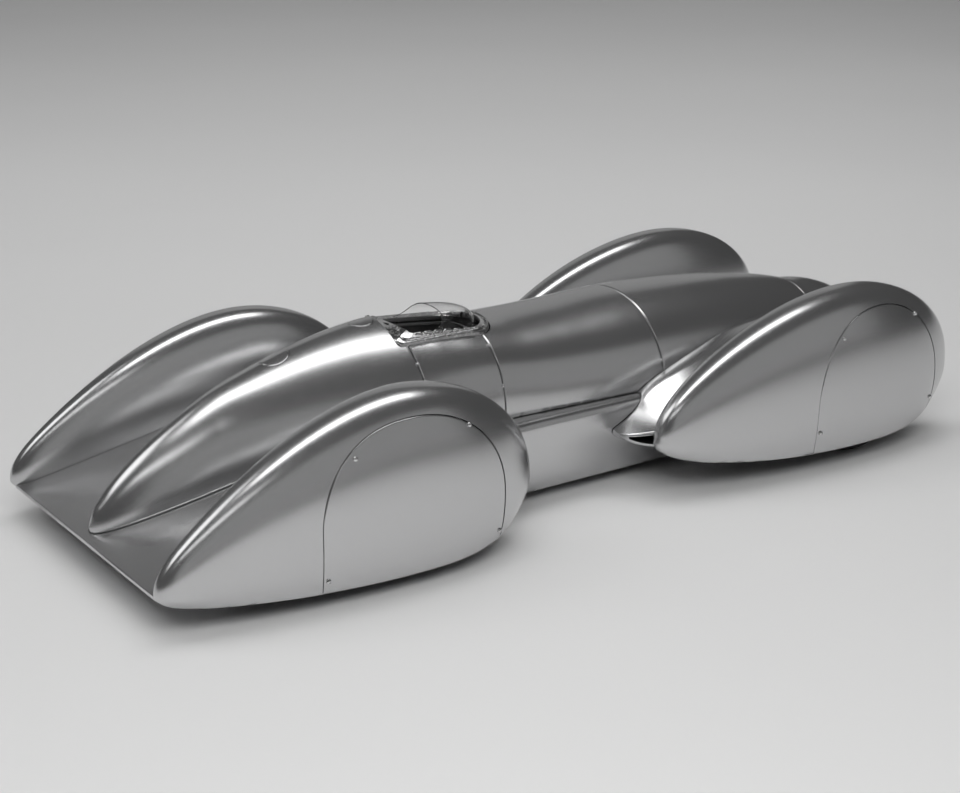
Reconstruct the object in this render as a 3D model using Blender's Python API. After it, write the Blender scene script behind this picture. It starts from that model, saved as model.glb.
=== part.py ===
"""Streamlined record car, 1:18 display model.

Free-standing, nose towards +X, +Y to the car's left, wheels on Z = 0.
Every station and height below is given in modules of 1.55 mm, counted forward
from the trailing edge of the tail deck and up from the ground.
"""
import math
import bpy
import bmesh
import numpy as np
from mathutils import Vector, Matrix

# ----------------------------------------------------------------- dimensions
MODULE = 0.00155          # m, layout grid of the model
X_MID = 90.49             # station that sits over the origin
GAP = 0.16                # panel gap, modules (0.25 mm)
SKIN = 1.0                # body shell thickness, modules

# wheels
AXLE_REAR = 43.0
AXLE_FRONT = 150.0
WHEEL_Y = 29.0
TYRE_R = 14.6
TYRE_W = 6.4
DISC_R = 10.2
AXLE_R = 1.0

# wheel fairings: teardrops with the round end forward
FAIR_REAR = dict(tail=-0.6, crown=44.4, nose=70.9, top=32.5, z_tail=7.4, z_nose=12.0,
                 belly=2.5, belly_rise=2.7, p_tail=1.80, q_tail=1.013,
                 w_out=9.2, w_in=7.2, pw=1.75, qw=1.20, yc=28.2, toe=1.8, butt_z=3.2, butt_w=2.4)
FAIR_FRONT = dict(tail=100.4, crown=147.3, nose=176.8, top=33.9, z_tail=11.0, z_nose=14.0,
                  belly=3.5, belly_rise=4.2, p_tail=1.80, q_tail=0.796,
                  w_out=8.8, w_in=7.2, pw=2.0, qw=0.92, yc=28.2, toe=0.0, butt_z=3.0, butt_w=2.4)
# wheel covers: round-headed panels standing on the fairing edge
COVER_REAR = (43.5, 17.9, 29.0)      # centre station, half width, crown height
COVER_FRONT = (151.2, 17.3, 30.4)
COVER_SHOULDER = 12.5

# fuselage stations
SEAM_1 = 59.6
SEAM_2 = 75.4
SEAM_3 = 111.5
SEAM_N = 158.5
NOSE_END = 181.6
SPINE_TIP = 1.6
SHELF_Z = 17.0            # height of the side ledge
DECK_EDGE = 6.9           # deck height at the trailing edge
DECK_SLOPE = 0.285
BODY_HALF = 19.6          # half width of the lower body
FLOOR_Z = 2.2

# cockpit
RIM_X0, RIM_X1 = 57.7, 80.2
RIM_HALF = 8.3
HOLE_X0, HOLE_X1 = 61.2, 78.9
HOLE_HALF = 6.5
RIM_LIFT = 0.30
SCREEN_TOP = 34.6

RES = 0.74                # mesh density factor


# ------------------------------------------------------------------- helpers
def clear():
    for o in list(bpy.data.objects):
        bpy.data.objects.remove(o, do_unlink=True)
    for m in list(bpy.data.meshes):
        bpy.data.meshes.remove(m)


def P(x, y, z):
    """Module coordinates to metres."""
    return ((x - X_MID) * MODULE, y * MODULE, z * MODULE)


def material(name, rgb, metallic=0.0, rough=0.5, alpha=1.0):
    m = bpy.data.materials.new("m_" + name)
    m.use_nodes = True
    b = m.node_tree.nodes["Principled BSDF"]
    b.inputs["Base Color"].default_value = (rgb[0], rgb[1], rgb[2], 1.0)
    b.inputs["Metallic"].default_value = metallic
    b.inputs["Roughness"].default_value = rough
    b.inputs["Alpha"].default_value = alpha
    m.diffuse_color = (rgb[0], rgb[1], rgb[2], alpha)
    return m


SILVER = ((0.62, 0.63, 0.64), 0.85, 0.34)
BRIGHT = ((0.80, 0.80, 0.80), 1.0, 0.18)
DARK = ((0.03, 0.03, 0.03), 0.0, 0.6)
RUBBER = ((0.02, 0.02, 0.02), 0.0, 0.8)
LEATHER = ((0.05, 0.045, 0.04), 0.0, 0.6)
CLEAR = ((0.9, 0.92, 0.93), 0.0, 0.05)


def mesh_object(name, verts, faces, look=None, alpha=1.0):
    me = bpy.data.meshes.new(name)
    me.from_pydata([tuple(v) for v in verts], [], [tuple(f) for f in faces])
    me.validate(clean_customdata=False)
    bm = bmesh.new()
    bm.from_mesh(me)
    bmesh.ops.remove_doubles(bm, verts=bm.verts, dist=2e-6)
    bmesh.ops.recalc_face_normals(bm, faces=bm.faces)
    bm.to_mesh(me)
    bm.free()
    ob = bpy.data.objects.new(name, me)
    bpy.context.scene.collection.objects.link(ob)
    if look:
        me.materials.append(material(name, look[0], look[1], look[2], alpha))
    return ob


def loft(name, rings, look=None, alpha=1.0):
    """Skin closed rings of equal count; the two end rings are capped."""
    n = len(rings[0])
    verts = [p for r in rings for p in r]
    faces = []
    for i in range(len(rings) - 1):
        for j in range(n):
            k = (j + 1) % n
            faces.append((i * n + j, i * n + k, (i + 1) * n + k, (i + 1) * n + j))
    faces.append(tuple(range(n - 1, -1, -1)))
    last = (len(rings) - 1) * n
    faces.append(tuple(last + j for j in range(n)))
    return mesh_object(name, verts, faces, look, alpha)


def prism(name, outline, lo, hi, axis, look=None):
    """Straight prism of a plane outline along y or z (module units)."""
    if axis == "y":
        rings = [[P(a, v, b) for a, b in outline] for v in (lo, hi)]
    else:
        rings = [[P(a, b, v) for a, b in outline] for v in (lo, hi)]
    return loft(name, rings, look)


def triangulate(ob):
    bm = bmesh.new()
    bm.from_mesh(ob.data)
    big = [f for f in bm.faces if len(f.verts) > 3]
    bmesh.ops.triangulate(bm, faces=big)
    bm.to_mesh(ob.data)
    bm.free()


def boolean(ob, cutter, op, keep=False):
    triangulate(ob)
    triangulate(cutter)
    m = ob.modifiers.new("b", "BOOLEAN")
    m.operation = op
    m.solver = "EXACT"
    m.object = cutter
    bpy.context.view_layer.update()
    dg = bpy.context.evaluated_depsgraph_get()
    me = bpy.data.meshes.new_from_object(ob.evaluated_get(dg))
    ob.modifiers.clear()
    old = ob.data
    mats = [mm for mm in old.materials]
    ob.data = me
    me.materials.clear()
    for mm in mats:
        me.materials.append(mm)
    for p in me.polygons:
        p.material_index = 0
    bpy.data.meshes.remove(old)
    me.name = ob.name
    if not keep:
        cm = cutter.data
        bpy.data.objects.remove(cutter, do_unlink=True)
        bpy.data.meshes.remove(cm)
    return ob


def clone(ob, name, look=None):
    me = ob.data.copy()
    me.name = name
    me.materials.clear()
    o = bpy.data.objects.new(name, me)
    bpy.context.scene.collection.objects.link(o)
    if look:
        me.materials.append(material(name, look[0], look[1], look[2]))
    return o


def tidy(ob, smooth=None):
    me = ob.data
    bm = bmesh.new()
    bm.from_mesh(me)
    bmesh.ops.remove_doubles(bm, verts=bm.verts, dist=3e-6)
    bmesh.ops.dissolve_degenerate(bm, edges=bm.edges, dist=3e-6)
    bmesh.ops.dissolve_limit(bm, angle_limit=math.radians(0.6), verts=bm.verts, edges=bm.edges)
    bmesh.ops.recalc_face_normals(bm, faces=bm.faces)
    bm.to_mesh(me)
    bm.free()
    if smooth:
        for p in me.polygons:
            p.use_smooth = True
        me.set_sharp_from_angle(angle=math.radians(smooth))
    return ob


def mirror_y(ob, name, look=None):
    me = ob.data.copy()
    me.name = name
    for v in me.vertices:
        v.co.y = -v.co.y
    me.flip_normals()
    me.materials.clear()
    o = bpy.data.objects.new(name, me)
    bpy.context.scene.collection.objects.link(o)
    if look:
        me.materials.append(material(name, look[0], look[1], look[2]))
    return o


def smooth_table(xs, vs, x):
    """Monotone cubic through the control stations."""
    xs = np.asarray(xs, float)
    vs = np.asarray(vs, float)
    h = np.diff(xs)
    d = np.diff(vs) / h
    m = np.zeros(len(xs))
    m[0], m[-1] = d[0], d[-1]
    for i in range(1, len(xs) - 1):
        if d[i - 1] * d[i] > 0:
            w1, w2 = 2 * h[i] + h[i - 1], h[i] + 2 * h[i - 1]
            m[i] = (w1 + w2) / (w1 / d[i - 1] + w2 / d[i])
    x = float(min(max(x, xs[0]), xs[-1]))
    i = int(min(max(np.searchsorted(xs, x) - 1, 0), len(xs) - 2))
    t = (x - xs[i]) / h[i]
    return ((1 + 2 * t) * (1 - t) ** 2 * vs[i] + t * (1 - t) ** 2 * h[i] * m[i]
            + t * t * (3 - 2 * t) * vs[i + 1] + t * t * (t - 1) * h[i] * m[i + 1])


def smoothstep(a, b, x):
    t = min(max((x - a) / (b - a), 0.0), 1.0)
    return t * t * (3 - 2 * t)


# ------------------------------------------------------------ fairing surface
def fairing_station(F, x):
    """Centre line, half widths, crown, belly and widest height at a station."""
    if x < F["crown"]:
        s = min((F["crown"] - x) / (F["crown"] - F["tail"]), 1.0)
        f_top = (1 - s ** F["p_tail"]) ** F["q_tail"]
        f_bot = (1 - s ** 16) ** 0.5
        butt = (1 - s ** 26) ** 0.5
        g = (1 - s ** F["pw"]) ** F["qw"]
        line = F["belly"] + F["belly_rise"] * s ** 2.0
        z_end = F["z_tail"]
        toe = F["toe"] * s ** 1.4
    else:
        s = min((x - F["crown"]) / (F["nose"] - F["crown"]), 1.0)
        f_top = (1 - s ** 2.05) ** 0.5
        f_bot = (1 - s ** 3.0) ** 0.5
        butt = 0.0
        g = (1 - s ** 2.3) ** 0.52
        line = F["belly"]
        z_end = F["z_nose"]
        toe = 0.0
    lift = F["butt_z"] if x < F["crown"] else 0.0
    top = z_end + lift * butt + (F["top"] - z_end - lift) * f_top
    bot = z_end - (z_end - line) * f_bot
    mid = bot + 0.36 * (top - bot)
    tuck = 0.10 + 0.45 * (s ** 3 if x > F["crown"] else s ** 6)
    wo, wi = F["w_out"] * g, F["w_in"] * g
    if x < F["crown"]:
        wb = F["butt_w"]
        wo, wi = wb * butt + (F["w_out"] - wb) * g, 0.9 * wb * butt + (F["w_in"] - 0.9 * wb) * g
    return (F["yc"] + toe, wo, wi, top, bot, mid, tuck)


def fairing_ring(F, x, n_up, n_dn, grow=0.0, drop=None):
    """Closed section ring, outer belly edge -> crown -> inner belly edge.

    With drop, both side walls run straight down from the belly line to that height.
    """
    yc, wo, wi, top, bot, mid, tuck = fairing_station(F, x)
    wo = max(wo + grow, 0.02)
    wi = max(wi + grow, 0.02)
    top += grow
    if grow > 0:
        bot -= grow
    pts = []
    for side, w in ((1, wo), (-1, wi)):
        seq = []
        if drop is not None:
            seq.append((yc + side * w * (1 - tuck), drop))
        for i in range(n_dn):
            u = 1 - i / n_dn
            z = mid - (mid - bot) * u
            seq.append((yc + side * w * (1 - tuck * u ** 2.2), z))
        for i in range(n_up + 1):
            a = math.pi / 2 * i / n_up
            ey = max(math.cos(a), 0.0) ** (2 / 2.45)
            ez = max(math.sin(a), 0.0) ** (2 / 2.15)
            seq.append((yc + side * w * ey, mid + (top - mid) * ez))
        if side == 1:
            pts += seq
        else:
            pts += seq[:-1][::-1]
    return [(x, y, z) for y, z in pts]


def fairing_solid(name, F, nx, n_up, n_dn, grow=0.0, look=None, x0=None, x1=None, drop=None):
    a = F["tail"] - grow if x0 is None else x0
    b = F["nose"] + grow if x1 is None else x1
    rings = []
    for i in range(nx + 1):
        t = 0.5 - 0.5 * math.cos(math.pi * i / nx)
        t = 0.86 * t + 0.14 * i / nx
        x = a + (b - a) * t
        xe = min(max(x, F["tail"] + 0.05), F["nose"] - 0.04)
        ring = fairing_ring(F, xe, n_up, n_dn, grow, drop)
        rings.append([P(x, y, z) for _, y, z in ring])
    return loft(name, rings, look)


def cover_outline(cover, shrink=0.0, n=24, floor=-2.0):
    """Round-headed outline of a wheel cover in the x-z plane."""
    xc, half, crown = cover
    a = half - shrink
    b = crown - COVER_SHOULDER - shrink
    pts = [(xc - a, floor), (xc + a, floor)]
    for i in range(n + 1):
        t = math.pi * i / n
        pts.append((xc + a * math.copysign(abs(math.cos(t)) ** (2 / 2.15), math.cos(t)),
                    COVER_SHOULDER + b * max(math.sin(t), 0.0) ** (2 / 2.15)))
    return pts


# ----------------------------------------------------------- fuselage surface
TOP_X = (1.6, 2.6, 4.0, 6.0, 10.0, 14.0, 18.0, 22.0, 26.0, 31.0, 36.0, 42.0, 48.0, 54.0,
         58.0, 64.0, 70.0, 76.0, 84.0, 96.0, 112.0, 124.0, 136.0, 146.0, 154.0, 162.0, 170.0)
TOP_Z = (8.0, 10.4, 12.2, 14.4, 17.9, 20.8, 23.3, 25.6, 27.6, 29.4, 31.0, 32.7, 34.0, 34.9,
         35.2, 34.6, 33.5, 32.5, 31.9, 32.1, 32.7, 32.5, 31.6, 30.2, 28.7, 26.6, 23.8)
NOSE_HALF = 11.2          # half width of the hull where the nose ellipsoid starts
NOSE_Z = 13.5


def deck_z(x):
    z = DECK_EDGE + DECK_SLOPE * x
    return z if z < SHELF_Z - 2 else SHELF_Z - 2 + 2 * (1 - math.exp(-(z - SHELF_Z + 2) / 2))


def hull_station(x):
    """Half width, crest height, waist height and section exponent."""
    tab = smooth_table((24.0, 36.0, 48.0, 58.0, 66.0, 76.0, 90.0, 112.0, 128.0, 142.0, 152.0, 160.0),
                       (8.85, 12.0, 15.2, 17.1, 16.6, 16.0, 16.6, 17.5, 17.2, 15.9, 14.1, 12.3), x)
    if x < 24:
        half = 1.86 * max(x - SPINE_TIP, 0.0) ** 0.5 + 0.02
    elif x <= 160:
        half = tab
    else:
        s = (x - 160.0) / (NOSE_END - 160.0)
        half = 12.3 * max(1 - s ** 1.9, 0.0) ** 0.55
    if x <= 160:
        crest = smooth_table(TOP_X, TOP_Z, x)
    else:
        s = (x - 160.0) / (NOSE_END - 160.0)
        crest = NOSE_Z + (smooth_table(TOP_X, TOP_Z, 160.0) - NOSE_Z) * max(1 - s ** 1.75, 0.0) ** 0.55
    if x < 150:
        waist = deck_z(x) - 0.0
    else:
        waist = SHELF_Z + (NOSE_Z - SHELF_Z) * smoothstep(150, 165, x)
    expo = smooth_table((0.0, 10.0, 30.0, 58.0, 66.0, 76.0, 92.0, 112.0, 182.0),
                        (2.0, 1.85, 1.72, 1.68, 1.95, 2.35, 2.15, 2.0, 2.0), x)
    return half, crest, waist, expo


def hull_arc(x, n, inset=0.0, foot=0.0):
    """Open arc over the hull from the left waist to the right waist."""
    half, crest, waist, expo = hull_station(x)
    half = max(half - inset, 0.03)
    rise = max(crest - inset - waist, 0.05)
    pts = []
    for i in range(n + 1):
        a = math.pi * i / n
        c, s = math.cos(a), math.sin(a)
        y = half * math.copysign(abs(c) ** (2 / expo), c)
        z = waist + rise * abs(s) ** (2 / expo)
        pts.append((x, y, z))
    if foot:
        pts[0] = (x, pts[0][1], waist + foot)
        pts[-1] = (x, pts[-1][1], waist + foot)
    return pts


def hull_z(x, y):
    half, crest, waist, expo = hull_station(x)
    u = min(abs(y) / half, 1.0)
    return waist + (crest - waist) * (1 - u ** expo) ** (1 / expo)


def hull_shell(name, x0, x1, nx, n, thick, look, lift=0.0, closed_rear=False, warp=None):
    """Shell over the hull between two stations, open underneath."""
    rings = []
    for i in range(nx + 1):
        t = i / nx
        if warp:
            t = warp(t)
        x = x0 + (x1 - x0) * t
        outer = hull_arc(x, n, -lift)
        half, crest, waist, expo = hull_station(x)
        th = min(thick, 0.55 * half, 0.45 * (crest - waist))
        inner = hull_arc(x, n, th)
        ring = [P(*p) for p in outer] + [P(*p) for p in inner[::-1]]
        rings.append(ring)
    return loft(name, rings, look)


def rim_outline(x0, x1, half, corner, nose, n=10):
    """Cockpit outline in plan: square rear with small corners, round front."""
    pts = []
    for k in range(n // 2 + 1):
        a = math.pi / 2 * k / (n // 2)
        pts.append((x0 + corner - corner * math.sin(a), -half + corner - corner * math.cos(a)))
    rear_right = pts
    rear_left = [(px, -py) for px, py in pts[::-1]]
    front = []
    xs = x1 - nose
    for k in range(2 * n + 1):
        a = math.pi / 2 - math.pi * k / (2 * n)
        front.append((xs + nose * abs(math.cos(a)) ** (2 / 2.3), half * math.copysign(abs(math.sin(a)) ** (2 / 2.3), math.sin(a))))
    return rear_right + rear_left + front



def lower_station(x):
    """Half width, top height and underside height of the lower body."""
    half = smooth_table((0.0, 20.0, 45.0, 56.0, 64.0, 72.0, 82.0, 122.0, 136.0, 146.0, 154.0, 159.0),
                        (30.1, 29.0, 28.0, 27.4, 23.5, 20.2, 19.6, 19.6, 18.6, 16.8, 14.6, 13.2), x)
    top = (deck_z(x) if x < 150 else hull_station(x)[2]) - GAP
    bot = FLOOR_Z + (DECK_EDGE - 0.75 - FLOOR_Z) * (1 - smoothstep(0.0, 30.0, x)) if x < 30 else FLOOR_Z
    bot += 1.6 * smoothstep(140, 159, x)
    return half, top, bot


def lower_ring(x, grow=0.0):
    """Closed section of the lower body: flat shelf, rounded ledge, tucked side."""
    half, top, bot = lower_station(x)
    half += grow
    top += grow
    bot -= grow
    k = smoothstep(56.0, 74.0, x)
    h = top - bot
    foot = half * (1 - 0.125 * k)
    r = (0.15 + 1.7 * k) * min(1.0, h / 6.0)
    right = [(0.0, bot), (foot * 0.55, bot), (foot - 0.02, bot)]
    for u in (0.22, 0.45, 0.68):
        z = bot + (h - r) * u
        right.append((foot + (half - foot) * (1 - (1 - u) ** 2.0), z))
    for i in range(5):
        a = math.pi / 2 * i / 4
        right.append((half - r * 0.85 + r * 0.85 * math.cos(a), top - r + r * math.sin(a)))
    right.append((half * 0.45, top))
    right.append((0.0, top))
    left = [(-y, z) for y, z in right[1:-1]]
    return [(x, y, z) for y, z in right + left[::-1]]


def lower_solid(name, stations, grow=0.0, look=None):
    return loft(name, [[P(*p) for p in lower_ring(x, grow)] for x in stations], look)


def spread(a, b, n, p=1.0):
    return [a + (b - a) * (i / n) ** p for i in range(n + 1)]


def box(name, x0, x1, y0, y1, z0, z1, look=None):
    return prism(name, [(x0, y0), (x1, y0), (x1, y1), (x0, y1)], z0, z1, "z", look)


def bar(name, p0, p1, r, n=12, look=None, r1=None):
    """Round bar between two points in modules."""
    a, b = Vector(P(*p0)), Vector(P(*p1))
    d = (b - a).normalized()
    u = d.orthogonal().normalized()
    v = d.cross(u)
    rr = (r * MODULE, (r if r1 is None else r1) * MODULE)
    rings = []
    for q, rad in zip((a, b), rr):
        rings.append([tuple(q + rad * (math.cos(2 * math.pi * i / n) * u + math.sin(2 * math.pi * i / n) * v))
                      for i in range(n)])
    return loft(name, rings, look)


def lathe(name, centre, axis, profile, n, look=None, ring_shape=False, roll=0.0):
    """Turn a profile of (radius, along) about an axis through centre."""
    c = Vector(P(*centre))
    d = Vector(axis).normalized()
    u = d.orthogonal().normalized() if abs(d.z) > 0.9 else d.cross(d.cross(Vector((0, 0, 1)))).normalized()
    v = d.cross(u)
    verts, faces = [], []
    m = len(profile)
    for i in range(n):
        t = 2 * math.pi * i / n + roll
        for r, h in profile:
            q = c + MODULE * (max(r, 0.0) * (math.cos(t) * u + math.sin(t) * v) + h * d)
            verts.append(tuple(q))
    last = m if ring_shape else m - 1
    for i in range(n):
        k = (i + 1) % n
        for j in range(last):
            jj = (j + 1) % m
            faces.append((i * m + j, k * m + j, k * m + jj, i * m + jj))
    me = bpy.data.meshes.new(name)
    me.from_pydata(verts, [], faces)
    bm = bmesh.new()
    bm.from_mesh(me)
    bmesh.ops.remove_doubles(bm, verts=bm.verts, dist=2e-6)
    bmesh.ops.dissolve_degenerate(bm, edges=bm.edges, dist=1e-6)
    bmesh.ops.recalc_face_normals(bm, faces=bm.faces)
    bm.to_mesh(me)
    bm.free()
    ob = bpy.data.objects.new(name, me)
    bpy.context.scene.collection.objects.link(ob)
    if look:
        me.materials.append(material(name, look[0], look[1], look[2]))
    return ob


def drop_object(ob):
    me = ob.data
    bpy.data.objects.remove(ob, do_unlink=True)
    bpy.data.meshes.remove(me)


def set_origin(ob, point):
    """Move the origin of an unrotated object to a point in modules."""
    t = Vector(P(*point))
    d = t - ob.location
    for v in ob.data.vertices:
        v.co -= d
    ob.location = t


def finish(ob, angle=35):
    tidy(ob, angle)
    return ob


def hull_solid(name, x0, x1, nx, n, grow, floor):
    """Filled hull grown or shrunk by an offset, carried down to a floor height."""
    rings = []
    for i in range(nx + 1):
        x = x0 + (x1 - x0) * i / nx
        arc = hull_arc(x, n, -grow)
        ring = [P(*p) for p in arc] + [P(x, arc[-1][1], floor), P(x, arc[0][1], floor)]
        rings.append(ring)
    return loft(name, rings)


# ---------------------------------------------------------------------- build
clear()

# ---- fairings and wheel covers
def build_fairing(tag, F, cover, axle):
    nx = int(26 * RES)
    solid = fairing_solid("solid", F, nx, int(8 * RES), int(3 * RES))
    cavity = fairing_solid("cavity", F, int(16 * RES), int(6 * RES), int(3 * RES), grow=-SKIN,
                           x0=F["tail"] + 13.0, x1=cover[0] + cover[1] + 1.4, drop=-3.0)
    shell = clone(solid, "fairing_%s_left" % tag, SILVER)
    boolean(shell, cavity, "DIFFERENCE")
    band_lo, band_hi = F["yc"] + 1.5, F["yc"] + 16
    hole = prism("hole", cover_outline(cover, 0.0, int(18 * RES)), band_lo, band_hi, "y")
    plug = prism("plug", cover_outline(cover, GAP, int(18 * RES)), band_lo, band_hi, "y")
    skin = clone(solid, "wheel_cover_%s_left" % tag, SILVER)
    core = fairing_solid("core", F, int(16 * RES), int(6 * RES), int(3 * RES), grow=-SKIN * 0.8,
                         x0=F["tail"] + 10.0, x1=cover[0] + cover[1] + 1.6, drop=-3.0)
    boolean(skin, plug, "INTERSECT")
    boolean(skin, core, "DIFFERENCE")
    boolean(shell, hole, "DIFFERENCE")
    # the axle passes the inner wall
    boolean(shell, bar("b", (axle, 15, TYRE_R), (axle, 26, TYRE_R), AXLE_R + 0.8, 12), "DIFFERENCE")
    drop_object(solid)
    finish(shell)
    finish(skin)
    mirror_y(shell, "fairing_%s_right" % tag, SILVER)
    mirror_y(skin, "wheel_cover_%s_right" % tag, SILVER)


build_fairing("rear", FAIR_REAR, COVER_REAR, AXLE_REAR)
build_fairing("front", FAIR_FRONT, COVER_FRONT, AXLE_FRONT)


def fairing_face_y(F, x, z):
    """Outer face of a fairing at a station and height."""
    yc, wo, wi, top, bot, mid, tuck = fairing_station(F, x)
    if z < mid:
        u = (mid - z) / (mid - bot)
        return yc + wo * (1 - tuck * u ** 2.2)
    s = min((z - mid) / (top - mid), 1.0)
    a = math.asin(s ** (2.15 / 2))
    return yc + wo * math.cos(a) ** (2 / 2.45)


# cover screws: one near each lower corner, one on each shoulder
SCREW_R = 0.42
for tag, F, cover in (("rear", FAIR_REAR, COVER_REAR), ("front", FAIR_FRONT, COVER_FRONT)):
    xc, half, crown = cover
    low = F["belly"] + 2.7
    spots = ((xc - half + 1.0, low + (2.0 if tag == "front" else 0.0)), (xc - 0.62 * half, crown - 4.6),
             (xc + 0.60 * half, crown - 3.4), (xc + half - 0.9, low + (2.6 if tag == "front" else 0.3)))
    for k, (sx, sz) in enumerate(spots):
        e = 0.3
        y0 = fairing_face_y(F, sx, sz)
        nrm = Vector((-(fairing_face_y(F, sx + e, sz) - fairing_face_y(F, sx - e, sz)) / (2 * e), 1.0,
                      -(fairing_face_y(F, sx, sz + e) - fairing_face_y(F, sx, sz - e)) / (2 * e))).normalized()
        prof = [(0.0, 0.05), (SCREW_R * 0.8, 0.05), (SCREW_R, 0.18), (SCREW_R * 0.72, 0.42), (0.0, 0.52)]
        for side, word in ((1, "left"), (-1, "right")):
            ob = lathe("cover_screw_%s_%s_%d" % (tag, word, k + 1), (sx, side * y0, sz),
                       (nrm.x, side * nrm.y, nrm.z), prof, 6, BRIGHT)
            finish(ob, 40)


# ---- upper hull sections
spine = hull_shell("tail_spine", SPINE_TIP + 0.05, SEAM_1 - GAP / 2, int(22 * RES), int(18 * RES), SKIN,
                   SILVER, warp=lambda t: t ** 1.6)
cockpit = hull_shell("cockpit_side", SEAM_1 + GAP / 2, SEAM_2 - GAP / 2, int(6 * RES), int(22 * RES),
                     SKIN, SILVER)
bonnet = hull_shell("bonnet", SEAM_2 + GAP / 2, SEAM_3 - GAP / 2, int(8 * RES), int(22 * RES), SKIN, SILVER)
front = hull_shell("front_bonnet", SEAM_3 + GAP / 2, SEAM_N - GAP / 2, int(10 * RES), int(22 * RES), SKIN,
                   SILVER)

# ---- cockpit surround let into the hull
outer = rim_outline(RIM_X0, RIM_X1, RIM_HALF, 0.9, 6.0)
grown = rim_outline(RIM_X0 - GAP, RIM_X1 + GAP, RIM_HALF + GAP, 0.9, 6.0)
inner = rim_outline(HOLE_X0, HOLE_X1, HOLE_HALF, 1.1, 6.2)
for ob in (spine, cockpit, bonnet):
    boolean(ob, prism("cut", grown, 22, 45, "z"), "DIFFERENCE")

rim = hull_shell("cockpit_rim", RIM_X0 - 1, RIM_X1 + 1, int(12 * RES), int(30 * RES), 0.9, BRIGHT, lift=RIM_LIFT)
boolean(rim, prism("cut", outer, 24, 45, "z"), "INTERSECT")
boolean(rim, prism("cut", inner, 22, 46, "z"), "DIFFERENCE")
finish(rim)

# ---- filler caps let into the spine
CAPS = (("filler_cap_rear", 37.4, 2.55), ("filler_cap_front", 54.9, 2.25))
for name, cx, cr in CAPS:
    ring = [(cx + (cr + 0.12) * math.cos(2 * math.pi * i / 20), (cr + 0.12) * math.sin(2 * math.pi * i / 20))
            for i in range(20)]
    boolean(spine, prism("cut", ring, 22, 45, "z"), "DIFFERENCE")
    disc = [(cx + cr * math.cos(2 * math.pi * i / 20), cr * math.sin(2 * math.pi * i / 20)) for i in range(20)]
    cap = hull_shell(name, cx - cr - 1, cx + cr + 1, 6, int(30 * RES), 0.9, SILVER, lift=0.10)
    boolean(cap, prism("cut", disc, 22, 45, "z"), "INTERSECT")
    finish(cap)
    set_origin(cap, (cx - cr - 0.1, 0.0, hull_z(cx - cr, 0) + 0.25))
panel = clone(cockpit, "cockpit_side_left", SILVER)
boolean(cockpit, box("c", SEAM_1 - 2, SEAM_2 + 2, 0, 30, 5, 45), "DIFFERENCE")
boolean(panel, box("c", SEAM_1 - 2, SEAM_2 + 2, -30, 0, 5, 45), "DIFFERENCE")
cockpit.name = cockpit.data.name = "cockpit_side_right"
for ob in (spine, cockpit, panel, bonnet, front):
    finish(ob)

# ---- nose cone: upper and lower half in one
rings = []
nx = int(11 * RES)
n = int(20 * RES)
for i in range(nx + 1):
    x = SEAM_N + GAP / 2 + (NOSE_END - 0.02 - SEAM_N - GAP / 2) * math.sin(math.pi / 2 * i / nx)
    up = hull_arc(x, n)
    half, crest, waist, expo = hull_station(x)
    s = (x - SEAM_N) / (NOSE_END - SEAM_N)
    keel = waist - (waist - 3.8) * max(1 - s ** 1.9, 0.0) ** 0.55
    low = []
    for j in range(1, n):
        a = math.pi * j / n
        c, sn = math.cos(a), math.sin(a)
        low.append((x, -half * math.copysign(abs(c) ** (2 / 2.5), c), waist - (waist - keel) * abs(sn) ** (2 / 2.5)))
    rings.append([P(*p) for p in up + low])
nose = loft("nose_cone", rings, SILVER)
finish(nose)

# ---- lower body: tail deck, side ledges, sills
stations = spread(0.0, 30.0, 5, 1.3) + [38.0, 46.0, 52.0, 56.0, 60.0, 64.0, 68.0, 72.0, 77.0, 84.0, 98.0,
                                       112.0, 122.0, 130.0, 138.0, 146.0, 152.0, SEAM_N - GAP / 2]
lower = lower_solid("lower_body", stations, 0.0, SILVER)
for F in (FAIR_REAR,):
    for side in (1, -1):
        c = fairing_solid("c", F, int(26 * RES), int(8 * RES), 2, grow=GAP, drop=-3.0)
        if side < 0:
            m = mirror_y(c, "cm")
            drop_object(c)
            c = m
        boolean(lower, c, "DIFFERENCE")
# engine bay and cockpit well, open above and below
well = []
for x in spread(24.0, 155.0, int(14 * RES)):
    half, top, bot = lower_station(x)
    w = min(hull_station(x)[0] - 1.6, half * 0.86)
    well.append([P(x, y, z) for y, z in ((-w, -2), (w, -2), (w, 30), (-w, 30))])
boolean(lower, loft("well", well), "DIFFERENCE")
for ax in (AXLE_REAR, AXLE_FRONT):
    boolean(lower, bar("b", (ax, -34, TYRE_R), (ax, 34, TYRE_R), AXLE_R + 0.8, 12), "DIFFERENCE")
finish(lower, 32)

# ---- front wings: fillets from the hull side to the front fairings
WING_X = (97.4, 98.6, 100.2, 102.4, 105.0, 108.0, 111.5, 117.0, 124.0, 132.0, 140.0, 148.0, 154.0, 159.0, 162.8, 165.4,
          166.8)


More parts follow.
